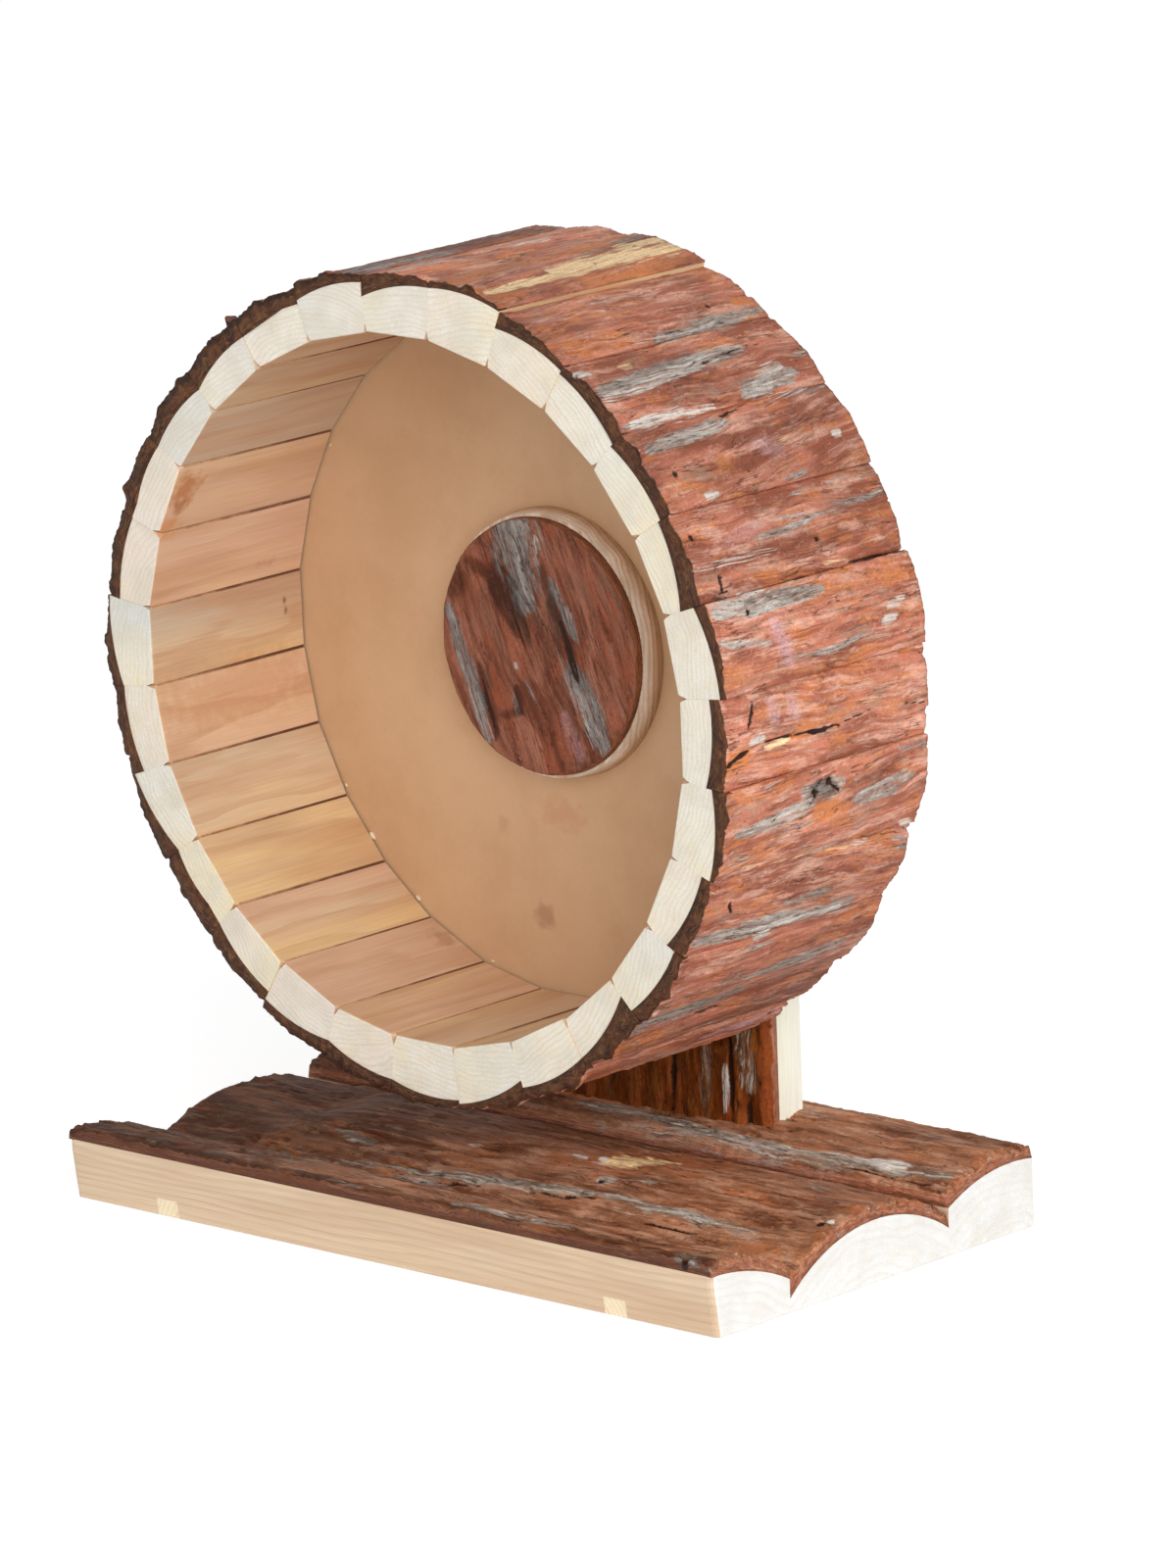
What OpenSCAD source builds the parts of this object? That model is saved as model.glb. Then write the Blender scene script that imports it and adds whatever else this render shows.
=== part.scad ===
// Rodent exercise wheel of bark-edged pine: a drum of slats that turns on a post and a three-slab base.
// Millimetres. X to the right, Y from the open front of the drum to its rear, Z up from the floor.
// The origin is the centre of the base's footprint, on the floor.

/* [Drum] */
// Inside diameter of the drum, across the joints between slats
running_d = 200; // [190:1:210]
// Length of the slats, from the front rim to the rear rim
drum_depth = 84; // [79:1:87]
// How far the rear rim stands behind the back panel
rear_recess = 18; // [16:0.5:20]
// Number of slats round the drum
slat_count = 28; // [24:1:32]
// Angle of the joint that starts the first slat, anticlockwise from the right
first_joint = 109; // [0:1:359]
// How far the front rim stands behind the base's front edge
drum_setback = 20; // [16:0.5:21]
// Air between the drum and the crown of the middle slab
drum_gap = 20; // [12:1:40]

/* [Slats] */
// Usual thickness of a slat's wood at its edges
slat_wood = 12; // [11:0.5:15]
// Usual thickness of the bark on a slat, above the wood's edges
slat_bark = 4.5; // [3.5:0.5:7]
// Rise of the wood's outer face between the two edges of a slat
slat_dome = 0.8; // [0.4:0.1:1.5]
// Drop of the bark from the middle of a slat to its edges
bark_round = 1.2; // [0.6:0.1:2]
// Least bark at the edge of a slat
bark_least = 0.6; // [0.4:0.1:1]
// Part of a slat's extra thickness that still shows in its bark
bark_follow = 0.4; // [0.2:0.1:0.5]
// Depth of the groove that takes the back panel's edge
groove_depth = 2.6; // [1.5:0.1:3]

/* [Panel and cover] */
// Thickness of the back panel
panel_t = 4; // [3:0.5:5]
// Diameter of the round cover over the hub
cover_d = 77; // [70:1:90]
// Thickness of the cover, bark and all
cover_t = 9; // [8.5:0.5:14]
// Thickness of the bark on the cover's face
cover_bark = 2.5; // [1.5:0.5:3.5]
// Step between the cover's wooden rim and its bark
cover_step = 0.8; // [0.4:0.1:1.5]
// How far the cover sits above the axle line
cover_rise = 2.5; // [0:0.5:4]

/* [Hub] */
// Diameter of the hub block behind the panel
block_d = 60; // [56:1:72]
// Thickness of the hub block
block_t = 17; // [16:0.5:19]
// Diameter of the clear hole round the lock nut
nut_hole_d = 18; // [17:0.5:19]
// Circle of the screws that hold the block
block_screw_circle = 44; // [40:1:46]
// Number of screws that hold the block
block_screw_count = 4; // [3:1:6]

/* [Bearings] */
// Outside diameter of a bearing
bearing_d = 22; // [22:0.5:23]
// Bore of a bearing
bearing_bore = 8; // [8:0.05:8.2]
// Width of a bearing
bearing_w = 7; // [6.8:0.1:7.2]
// Outside diameter of the inner ring
inner_ring_d = 12.4; // [12:0.1:12.6]
// Inside diameter of the outer ring
outer_ring_bore = 17.7; // [17.4:0.1:18]
// Diameter of the circle on which the balls run
ball_circle = 15; // [14.9:0.05:15.1]
// Diameter of a ball
ball_d = 3.97; // [3.8:0.01:4]
// Balls in a bearing
ball_count = 7; // [6:1:8]
// Thickness of the ball cage, from the axle outwards
cage_t = 1; // [0.8:0.1:1.2]
// Width of the ball cage along the axle
cage_w = 4.8; // [4.6:0.1:5]
// Thickness of a bearing shield
shield_t = 0.4; // [0.3:0.05:0.5]

/* [Axle hardware] */
// Diameter of the axle bolt, over the thread
bolt_d = 7.9; // [7.8:0.02:7.96]
// Bolt left standing past the lock nut
bolt_past_nut = 2.9; // [1:0.1:3]
// Height of the bolt's head
head_h = 5.3; // [5:0.1:6]
// Width across the flats of the head and nuts
flats = 13; // [12.5:0.1:13.5]
// Height of the six-sided part of the lock nut
lock_nut_h = 6.5; // [6:0.1:7]
// Height of the lock nut's round collar
lock_collar_h = 1.5; // [1:0.1:2]
// Diameter of the lock nut's round collar
lock_collar_d = 12; // [11.6:0.1:12.4]
// Outside diameter of the nylon ring in the lock nut
nylon_d = 10; // [9.4:0.1:10.4]
// Height of the nylon ring in the lock nut
nylon_h = 2.4; // [2:0.1:3]
// Height of the jam nut against the post
jam_nut_h = 4; // [3.5:0.1:4.5]
// Diameter of the spacer and the front washer, which touch only the inner rings
small_washer_d = 12; // [11:0.1:12]
// Thickness of the front washer
front_washer_t = 1.6; // [1:0.1:2]
// Thickness of the spacer behind the rear bearing
spacer_t = 2; // [1.5:0.1:3]
// Hole in the washers and in the post
washer_hole_d = 8.4; // [8.1:0.1:9]
// Diameter of the large washer behind the post
rear_washer_d = 24; // [20:1:28]
// Thickness of the large washer
rear_washer_t = 2; // [1.5:0.1:2.5]

/* [Post] */
// Width of the post
post_w = 94; // [84:1:110]
// Thickness of the post in its middle, bark and all
post_t = 16.5; // [15:0.5:18]
// Thickness of the bark on the post
post_bark = 3.5; // [2:0.5:4]
// Radius of the log that the post's front was cut from
post_log_r = 370; // [300:10:500]
// How far the post rises above the axle
post_above_axle = 35; // [25:1:60]
// Diameter of the flat that is cut in the bark for the jam nut
spot_d = 26; // [20:1:30]
// Depth of that flat
spot_depth = 1; // [0.5:0.1:1.5]
// Height above the floor of the post's foot, in its housing
housing_floor = 12; // [9:0.5:14]

/* [Base] */
// Length of the base slabs, left to right
base_w = 244; // [240:1:280]
// Bark on the base slabs
base_bark = 3.5; // [2:0.5:4.5]
// Width of the front slab
front_slab_w = 31.5; // [28:0.5:36]
// Height of the front slab's wood at its crown, which is at its front edge
front_crown_h = 17.5; // [15:0.5:20]
// Radius of the log that the front slab was cut from
front_log_r = 66; // [60:1:90]
// How far the front slab's sawn face is undercut
undercut = 2; // [0.5:0.5:4]
// Height of the upright part at the top of that sawn face
upright_h = 3; // [1:0.5:5]
// Width of the middle slab
middle_slab_w = 67; // [62:1:68]
// Distance of the middle slab's crown from its front side
middle_crown_y = 36; // [32:1:38]
// Height of the middle slab's wood at its crown
middle_crown_h = 17.7; // [17:0.1:20]
// Radius of the log that the middle slab was cut from
middle_log_r = 54; // [52:1:70]
// Width of the rear slab
rear_slab_w = 36.5; // [36:0.5:44]
// Distance of the rear slab's crown from its front side
rear_crown_y = 27; // [22:1:30]
// Height of the rear slab's wood at its crown
rear_crown_h = 20.3; // [18:0.1:23]
// Radius of the log that the rear slab was cut from
rear_log_r = 57; // [50:1:90]

/* [Battens] */
// Distance of each batten's middle from its end of the base
batten_inset = 37; // [20:1:50]
// Width of a batten
batten_w = 8; // [7:0.5:12]
// Height of a batten, let in flush with the underside
batten_h = 5; // [3:0.5:6]

/* [Wood screws] */
// Diameter of every screw's tip
screw_tip_d = 0.2; // [0.2:0.1:0.5]
// Diameter of the screws in the hub block
block_screw_d = 3.5; // [3:0.1:4]
// Length of the screws in the hub block
block_screw_len = 16; // [12:1:18]
// Diameter of the screws in the battens
batten_screw_d = 3; // [2.5:0.1:3.5]
// Length of the screws in the battens
batten_screw_len = 12; // [10:1:13]
// Diameter of the screws in the post's foot
post_screw_d = 4.5; // [4:0.1:5]
// Length of the screws in the post's foot
post_screw_len = 50; // [40:1:60]
// Distance of the post's screws from the middle
post_screw_x = 27; // [15:1:38]
// How far the heads are sunk below the underside
head_sink = 0.4; // [0.2:0.1:0.8]

/* [Fits] */
// Clearance round screws, battens, bearings and the post's foot
snug = 0.05; // [0.02:0.01:0.1]
// Clearance of the back panel in its groove
panel_fit = 0.1; // [0.05:0.05:0.2]
// Clearance between a ball and its tracks or its cage
ball_fit = 0.1; // [0.08:0.01:0.12]
// How far a shield's edge is let into the outer ring
shield_seat = 0.35; // [0.3:0.01:0.4]
// Clearance between a shield and the inner ring
shield_gap = 0.25; // [0.2:0.01:0.3]
// Air in front of the bolt's end, inside the cover
end_gap = 1; // [0.5:0.1:1]

/* [Hidden] */
$fn = 96;
eps = 0.02; // overlap that keeps a cut's end off the face that it opens
past = 1; // how far a cutting shape runs past what it cuts
side_step = 360 / slat_count;
running_r = running_d / 2;
panel_setback = drum_depth - rear_recess - panel_t;

// Thickness that each slat's two edges add to slat_wood, clockwise from the first joint.
SLAT_EXTRA = [
    [0, 2], [-2, 3], [3, 5], [0, 2], [1, -1], [-2, 0], [-1, -5],
    [0, 3], [-1, -3], [-1, 3], [0, -3], [0, -1], [-6, 0], [0, 1],
    [-1, 4], [3, 1], [1, -1], [-1, 2], [-1, -3], [-3, -3], [-3, 3],
    [-1, 0], [0, 4], [0, -1], [-1, -2], [-2, -4], [-4, -2], [-2, -1],
];

function slat_name(i) = str("slat_", i < 9 ? "0" : "", i + 1);
function joint_angle(i) = first_joint - i * side_step;
function extra(i, edge) = SLAT_EXTRA[i % len(SLAT_EXTRA)][edge];
function mean_extra(i) = (extra(i, 0) + extra(i, 1)) / 2;
function wood_edge_r(i, edge) = running_r + slat_wood + extra(i, edge);
function wood_middle_r(i) = running_r + slat_wood + mean_extra(i) + slat_dome;
function bark_middle_r(i) = max(
    wood_middle_r(i) + bark_least,
    running_r + slat_wood + slat_bark + bark_follow * mean_extra(i));
function bark_edge_r(i, edge) = max(wood_edge_r(i, edge) + bark_least, bark_middle_r(i) - bark_round);

// Places along Y, from the front edge of the base to the bolt's head.
base_depth = front_slab_w + middle_slab_w + rear_slab_w;
front_y = -base_depth / 2;
batten_x = base_w / 2 - batten_inset;
middle_slab_y = front_y + front_slab_w;
rear_slab_y = middle_slab_y + middle_slab_w;
rim_y = front_y + drum_setback;
panel_y = rim_y + panel_setback;
block_y = panel_y + panel_t;
bearing_rear_y = block_y + block_t;
rear_bearing_y = bearing_rear_y - bearing_w;
front_bearing_y = rear_bearing_y - bearing_w;
front_washer_y = front_bearing_y - front_washer_t;
lock_nut_h_all = lock_nut_h + lock_collar_h;
lock_nut_y = front_washer_y - lock_nut_h_all;
bolt_end_y = lock_nut_y - bolt_past_nut;
jam_nut_y = bearing_rear_y + spacer_t;
spot_y = jam_nut_y + jam_nut_h;
post_y = spot_y - spot_depth;
post_rear_y = post_y + post_t;
head_y = post_rear_y + rear_washer_t;
bolt_len = head_y - bolt_end_y;
post_wood_mid_y = (post_y + post_bark + post_rear_y) / 2;

// Heights above the floor.
drum_r = max([for (i = [0 : slat_count - 1]) bark_middle_r(i)]);
axle_z = middle_crown_h + base_bark + drum_gap + drum_r;
post_top = axle_z + post_above_axle;

panel_r = running_r * cos(side_step / 2) + groove_depth;
track_r = ball_d / 2 + ball_fit;
shield_seat_r = outer_ring_bore / 2 + shield_seat;
ball_circle_r = ball_circle / 2;
head_ratio = 2; // a screw's head to its diameter
point_ratio = 1.2; // a screw's point to its diameter
sawn_edge_h = front_crown_h - upright_h;

PINE = [0.90, 0.79, 0.64];
PALE_PINE = [0.95, 0.90, 0.80];
BARK = [0.50, 0.30, 0.22];
DARK_BARK = [0.38, 0.25, 0.18];
HARDBOARD = [0.72, 0.54, 0.38];
STEEL = [0.72, 0.73, 0.75];
NYLON = [0.90, 0.90, 0.86];

// Puts its children on the axle line at y, with their own Z along the axle and their own Y downwards.
module on_axle(y) {
    translate([0, y, axle_z]) rotate([-90, 0, 0]) children();
}

// A point on a circle round the axle, in the frame of on_axle.
function round_axle(r, angle) = [r * cos(angle), -r * sin(angle)];

module ring(outer_d, hole_d, h) {
    difference() {
        cylinder(h = h, d = outer_d);
        translate([0, 0, -past]) cylinder(h = h + 2 * past, d = hole_d);
    }
}

module hexagon(h) {
    rotate([0, 0, 30]) cylinder(h = h, d = flats / cos(30), $fn = 6);
}

// A countersunk wood screw that points down its own -Z, with the top of its head at the origin.
module screw(d, length, grow = 0) {
    head_d = head_ratio * d;
    head_drop = (head_d - d) / 2;
    translate([0, 0, -head_drop]) cylinder(h = head_drop, d1 = d + 2 * grow, d2 = head_d + 2 * grow);
    translate([0, 0, -length + point_ratio * d])
        cylinder(h = length - point_ratio * d - head_drop, d = d + 2 * grow);
    translate([0, 0, -length - grow])
        cylinder(h = point_ratio * d + grow, d1 = screw_tip_d, d2 = d + 2 * grow);
}

// The well above a sunk head, up its own Z.
module head_well(d) {
    translate([0, 0, -eps]) cylinder(h = head_sink + past, d = head_ratio * d + 2 * snug);
}

module slotted_screw(d, length) {
    difference() {
        screw(d, length);
        for (turn = [0, 90])
            rotate([0, 0, turn]) cube([1.1 * d, d / 5, d / 2], center = true);
    }
}

// Base: three slabs side by side, cut from logs that lie along X, with their bark on top.

module log_along_x(y, crown_h, log_r, bark) {
    translate([-base_w, y, crown_h - log_r]) rotate([0, 90, 0]) cylinder(h = 2 * base_w, r = log_r + bark);
}

// The base's sawn front face leans back towards the floor, as y at the height z.
function sawn_face_y(z) = front_y + undercut * (1 - min(1, z / sawn_edge_h));

// The block of space that a slab is cut from. Its front face meets the floor at foot_y.
module slab_blank(y, width, height, foot_y) {
    translate([-base_w / 2, 0, 0]) rotate([90, 0, 90]) linear_extrude(base_w)
        polygon([[foot_y, 0], [y + width, 0], [y + width, height], [y, height], [y, sawn_edge_h]]);
}

module slab(y, width, crown_y, crown_h, log_r, foot_y) {
    blank_h = crown_h + base_bark + past;
    color(PALE_PINE) intersection() {
        slab_blank(y, width, blank_h, foot_y);
        log_along_x(y + crown_y, crown_h, log_r, 0);
    }
    color(DARK_BARK) difference() {
        intersection() {
            slab_blank(y, width, blank_h, foot_y);
            log_along_x(y + crown_y, crown_h, log_r, base_bark);
        }
        log_along_x(y + crown_y, crown_h, log_r, 0);
    }
}

// The places of the screws in a batten: one in each slab.
BATTEN_SCREW_Y = [
    front_y + front_slab_w / 2,
    middle_slab_y + middle_crown_y,
    rear_slab_y + rear_crown_y,
];

module batten_screw_places(side) {
    for (y = BATTEN_SCREW_Y)
        translate([side * batten_x, y, head_sink]) rotate([180, 0, 0]) children();
}

module post_screw_places() {
    for (side = [-1, 1])
        translate([side * post_screw_x, post_wood_mid_y, head_sink]) rotate([180, 0, 0]) children();
}

// What is cut out of the slabs for the battens and every screw that passes through them.
module underside_cuts() {
    for (side = [-1, 1]) {
        translate([side * batten_x - batten_w / 2 - snug, front_y - past, -past])
            cube([batten_w + 2 * snug, base_depth + 2 * past, batten_h + snug + past]);
        batten_screw_places(side) screw(batten_screw_d, batten_screw_len, snug);
    }
}

module base_front_slab() {
    difference() {
        slab(front_y, front_slab_w, 0, front_crown_h, front_log_r, sawn_face_y(0));
        underside_cuts();
    }
}

module base_middle_slab() {
    difference() {
        slab(middle_slab_y, middle_slab_w, middle_crown_y, middle_crown_h, middle_log_r, middle_slab_y);
        underside_cuts();
    }
}

module base_rear_slab() {
    difference() {
        slab(rear_slab_y, rear_slab_w, rear_crown_y, rear_crown_h, rear_log_r, rear_slab_y);
        underside_cuts();
        post_solid(housing_floor, post_top, post_bark, snug);
        post_screw_places() screw(post_screw_d, post_screw_len, snug);
        post_screw_places() head_well(post_screw_d);
    }
}

// A batten runs the whole depth of the base. Its front end leans back like the slab's sawn face.
module batten(side) {
    difference() {
        translate([side * batten_x - batten_w / 2, 0, 0]) rotate([90, 0, 90]) linear_extrude(batten_w)
            polygon([
                [sawn_face_y(0), 0],
                [front_y + base_depth, 0],
                [front_y + base_depth, batten_h],
                [sawn_face_y(batten_h), batten_h],
            ]);
        batten_screw_places(side) screw(batten_screw_d, batten_screw_len, snug);
        batten_screw_places(side) head_well(batten_screw_d);
    }
}

module left_batten() {
    color(PINE) batten(-1);
}

module right_batten() {
    color(PINE) batten(1);
}

module batten_screws() {
    color(STEEL) for (side = [-1, 1])
        batten_screw_places(side) slotted_screw(batten_screw_d, batten_screw_len);
}

// Post: a bark-faced slab on end. Its front is part of a log of post_log_r, its rear is sawn flat.

module post_log(bark) {
    translate([0, post_y + post_bark + post_log_r, -past])
        cylinder(h = post_top + 2 * past, r = post_log_r + bark, $fn = 360);
}

module post_solid(bottom, top, bark, grow = 0) {
    intersection() {
        translate([-post_w / 2 - grow, post_y - past, bottom])
            cube([post_w + 2 * grow, post_t + grow + past, top - bottom]);
        post_log(bark + grow);
    }
}

module post_cuts() {
    on_axle(post_y - past) cylinder(h = post_t + 2 * past, d = washer_hole_d);
    on_axle(post_y - past) cylinder(h = past + spot_depth, d = spot_d);
    post_screw_places() screw(post_screw_d, post_screw_len, snug);
}

module post() {
    difference() {
        union() {
            color(PALE_PINE) post_solid(housing_floor, post_top, 0);
            color(BARK) difference() {
                post_solid(housing_floor, post_top, post_bark);
                post_log(0);
            }
        }
        post_cuts();
    }
}

module post_screws() {
    color(STEEL) post_screw_places() slotted_screw(post_screw_d, post_screw_len);
}

// Axle: a bolt through the post, locked there by the jam nut, that carries the inner rings.

module axle_bolt() {
    color(STEEL) {
        on_axle(bolt_end_y) cylinder(h = bolt_len, d = bolt_d);
        on_axle(head_y) hexagon(head_h);
    }
}

module rear_washer() {
    color(STEEL) on_axle(post_rear_y) ring(rear_washer_d, washer_hole_d, rear_washer_t);
}

module jam_nut() {
    color(STEEL) on_axle(jam_nut_y) difference() {
        hexagon(jam_nut_h);
        translate([0, 0, -past]) cylinder(h = jam_nut_h + 2 * past, d = bearing_bore);
    }
}

module spacer() {
    color(STEEL) on_axle(bearing_rear_y) ring(small_washer_d, washer_hole_d, spacer_t);
}

module front_washer() {
    color(STEEL) on_axle(front_washer_y) ring(small_washer_d, washer_hole_d, front_washer_t);
}

module lock_nut() {
    color(STEEL) on_axle(lock_nut_y) difference() {
        union() {
            cylinder(h = lock_nut_h_all, d = lock_collar_d);
            translate([0, 0, lock_collar_h]) hexagon(lock_nut_h);
        }
        translate([0, 0, -past]) cylinder(h = lock_nut_h_all + 2 * past, d = bearing_bore);
        translate([0, 0, -past]) cylinder(h = nylon_h + past, d = nylon_d);
    }
}

module lock_nut_ring() {
    color(NYLON) on_axle(lock_nut_y) ring(nylon_d - 2 * snug, bearing_bore, nylon_h);
}

// Bearings: two alike, side by side in the hub block.

module ball_track() {
    translate([0, 0, bearing_w / 2]) rotate_extrude() translate([ball_circle_r, 0]) circle(r = track_r);
}

module inner_ring() {
    difference() {
        ring(inner_ring_d, bearing_bore, bearing_w);
        ball_track();
    }
}

module outer_ring() {
    difference() {
        ring(bearing_d, outer_ring_bore, bearing_w);
        ball_track();
        for (z = [-past, bearing_w - shield_t])
            translate([0, 0, z]) cylinder(h = shield_t + past, r = shield_seat_r);
    }
}

module shields() {
    for (z = [0, bearing_w - shield_t])
        translate([0, 0, z])
            ring(2 * (shield_seat_r - snug), inner_ring_d + 2 * shield_gap, shield_t);
}

module ball_places() {
    for (k = [0 : ball_count - 1])
        rotate([0, 0, k * 360 / ball_count]) translate([ball_circle_r, 0, bearing_w / 2]) children();
}

module ball_cage() {
    difference() {
        translate([0, 0, (bearing_w - cage_w) / 2]) ring(ball_circle + cage_t, ball_circle - cage_t, cage_w);
        ball_places() rotate([0, 90, 0]) cylinder(h = 2 * cage_t, r = track_r, center = true);
    }
}

module balls() {
    ball_places() sphere(d = ball_d);
}

module rear_inner_ring() {
    color(STEEL) on_axle(rear_bearing_y) inner_ring();
}

module front_inner_ring() {
    color(STEEL) on_axle(front_bearing_y) inner_ring();
}

module rear_outer_ring() {
    color(STEEL) on_axle(rear_bearing_y) outer_ring();
}

module front_outer_ring() {
    color(STEEL) on_axle(front_bearing_y) outer_ring();
}

module rear_shields() {
    color(STEEL) on_axle(rear_bearing_y) shields();
}

module front_shields() {
    color(STEEL) on_axle(front_bearing_y) shields();
}

module rear_ball_cage() {
    color(STEEL) on_axle(rear_bearing_y) ball_cage();
}

module front_ball_cage() {
    color(STEEL) on_axle(front_bearing_y) ball_cage();
}

module rear_balls() {
    color(STEEL) on_axle(rear_bearing_y) balls();
}

module front_balls() {
    color(STEEL) on_axle(front_bearing_y) balls();
}

// Drum: the slats, the back panel in their groove, the hub block behind it and the cover in front.

// A slat is a prism whose sides lie on the planes through the axle, so that neighbours meet face to face.
module slat(i) {
    start = joint_angle(i);
    end = joint_angle(i + 1);
    middle = (start + end) / 2;
    wood = [
        round_axle(running_r, start),
        round_axle(wood_edge_r(i, 0), start),
        round_axle(wood_middle_r(i), middle),
        round_axle(wood_edge_r(i, 1), end),
        round_axle(running_r, end),
    ];
    bark = [
        wood[1],
        round_axle(bark_edge_r(i, 0), start),
        round_axle(bark_middle_r(i), middle),
        round_axle(bark_edge_r(i, 1), end),
        wood[3],
        wood[2],
    ];
    on_axle(rim_y) {
        color(PINE) difference() {
            linear_extrude(drum_depth) polygon(wood);
            translate([0, 0, panel_setback - panel_fit])
                cylinder(h = panel_t + 2 * panel_fit, r = panel_r + panel_fit);
        }
        color(BARK) linear_extrude(drum_depth) polygon(bark);
    }
}

module block_screw_places() {
    on_axle(panel_y)
        for (k = [0 : block_screw_count - 1])
            rotate([0, 0, 45 + k * 360 / block_screw_count])
                translate([block_screw_circle / 2, 0, 0]) rotate([180, 0, 0]) children();
}

module back_panel() {
    color(HARDBOARD) difference() {
        on_axle(panel_y) ring(2 * panel_r, nut_hole_d, panel_t);
        block_screw_places() screw(block_screw_d, block_screw_len, snug);
    }
}

module hub_block() {
    color(PINE) difference() {
        on_axle(block_y) ring(block_d, nut_hole_d, block_t);
        on_axle(front_bearing_y) cylinder(h = 2 * bearing_w + past, d = bearing_d + 2 * snug);
        block_screw_places() screw(block_screw_d, block_screw_len, snug);
    }
}

module block_screws() {
    color(STEEL) block_screw_places() slotted_screw(block_screw_d, block_screw_len);
}

module hub_cover() {
    cover_y = panel_y - cover_t;
    recess_y = bolt_end_y - end_gap;
    difference() {
        translate([0, 0, cover_rise]) {
            color(PALE_PINE) on_axle(cover_y + cover_bark) cylinder(h = cover_t - cover_bark, d = cover_d);
            color(BARK) on_axle(cover_y) cylinder(h = cover_bark, d = cover_d - 2 * cover_step);
        }
        on_axle(recess_y) cylinder(h = panel_y - recess_y + past, d = nut_hole_d);
    }
}

base_front_slab();
base_middle_slab();
base_rear_slab();
left_batten();
right_batten();
batten_screws();
post();
post_screws();
axle_bolt();
rear_washer();
jam_nut();
spacer();
rear_inner_ring();
front_inner_ring();
front_washer();
lock_nut();
lock_nut_ring();
for (i = [0 : slat_count - 1])
    slat(i);
back_panel();
hub_cover();
hub_block();
block_screws();
rear_outer_ring();
front_outer_ring();
rear_shields();
front_shields();
rear_ball_cage();
rear_balls();
front_ball_cage();
front_balls();
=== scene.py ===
"""Looks of a bark-wood rodent exercise wheel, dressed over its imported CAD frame.

Lengths here are in millimetres. They become metres when a mesh is finished.
X runs to the right, Y from the open front of the drum to its rear, Z up from the floor.
"""

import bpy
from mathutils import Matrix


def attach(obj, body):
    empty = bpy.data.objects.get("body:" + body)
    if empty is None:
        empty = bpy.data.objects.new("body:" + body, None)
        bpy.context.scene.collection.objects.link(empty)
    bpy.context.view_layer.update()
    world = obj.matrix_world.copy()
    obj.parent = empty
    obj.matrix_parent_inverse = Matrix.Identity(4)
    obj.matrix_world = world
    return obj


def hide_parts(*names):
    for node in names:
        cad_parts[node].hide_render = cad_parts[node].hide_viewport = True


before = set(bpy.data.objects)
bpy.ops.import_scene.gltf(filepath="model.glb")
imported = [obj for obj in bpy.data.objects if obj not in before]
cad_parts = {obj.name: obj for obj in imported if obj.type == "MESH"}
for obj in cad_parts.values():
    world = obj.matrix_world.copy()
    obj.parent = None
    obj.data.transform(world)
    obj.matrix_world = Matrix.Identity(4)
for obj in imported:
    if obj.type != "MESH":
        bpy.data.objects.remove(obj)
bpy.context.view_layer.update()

import logging
import math
import random
from dataclasses import dataclass
from enum import Enum
from functools import cached_property
from typing import Callable, Dict, Iterable, List, NamedTuple, Optional, Sequence, Tuple

import bmesh
import bpy
from bmesh.types import BMEdge, BMesh, BMFace, BMVert
from bpy.types import Material, Node, NodeSocket, NodeTree
from mathutils import Matrix, Vector, noise

LOG = logging.getLogger("wheel")
MM = 0.001
AXLE_Z = 159.3
FRONT_RIM_Y = -47.5
PANEL_Y = 14.5

Rgb = Tuple[int, int, int]
Colour = Tuple[float, float, float, float]
Triple = Tuple[float, float, float]
Pair = Tuple[float, float]
Feeds = Dict[str, object]

WHITE: Colour = (1.0, 1.0, 1.0, 1.0)
NO_TURN: Triple = (0.0, 0.0, 0.0)


def srgb(rgb: Rgb) -> Colour:
    """Turns a colour as the eye reads it into the renderer's own numbers, by the sRGB curve.

    Args:
        rgb: Red, green and blue, 0 to 255.

    Returns:
        The colour with alpha 1.
    """
    parts = [part / 255 for part in rgb]
    flat = [p / 12.92 if p <= 0.04045 else ((p + 0.055) / 1.055) ** 2.4 for p in parts]
    return flat[0], flat[1], flat[2], 1.0


def clamp(value: float) -> float:
    """Keeps a number between 0 and 1."""
    return min(1.0, max(0.0, value))


def ease(low: float, high: float, value: float) -> float:
    """Rises smoothly from 0 to 1 as the value goes from low to high."""
    t = clamp((value - low) / (high - low))
    return t * t * (3 - 2 * t)


# Marks and bark relief


class MarkEffect(NamedTuple):
    """What a kind of mark does to the bark: the finish that it lays on, its lift and its tone.

    fade is where its edge starts and ends, as a share of its half width, and fray how rough that
    edge is. A crack's lift is a share of the sheet's own crack depth.
    """

    finish: str = ""
    lift: float = 0.0
    tone: float = 0.0
    fade: Pair = (-0.6, 0.6)
    fray: float = 0.7


class MarkKind(Enum):
    """What a single mark on a bark face is, and what it does to the bark.

    Grey is a weathered streak, pale a chip of outer bark, lilac a thin skin, orange fresh bark,
    flap bark that stands off, bare yellow wood, dark a darker stretch, worn bark worn thin.
    """

    GREY = MarkEffect("grey", 0.2)
    PALE = MarkEffect("pale", 0.25)
    CRACK = MarkEffect("crack", -1.3, fade=(0.0, 0.9), fray=0.8)
    HOLE = MarkEffect("crack", -1.6, fade=(-0.1, 0.3), fray=0.0)
    LILAC = MarkEffect("lilac")
    ORANGE = MarkEffect("orange")
    FLAP = MarkEffect(lift=2.6, fade=(0.3, 0.8), fray=0.4)
    BARE = MarkEffect("bare", -0.4)
    DARK = MarkEffect(tone=-1.5)
    WORN = MarkEffect(lift=-3.2, fade=(-0.5, 0.9), fray=0.0)


K = MarkKind


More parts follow.
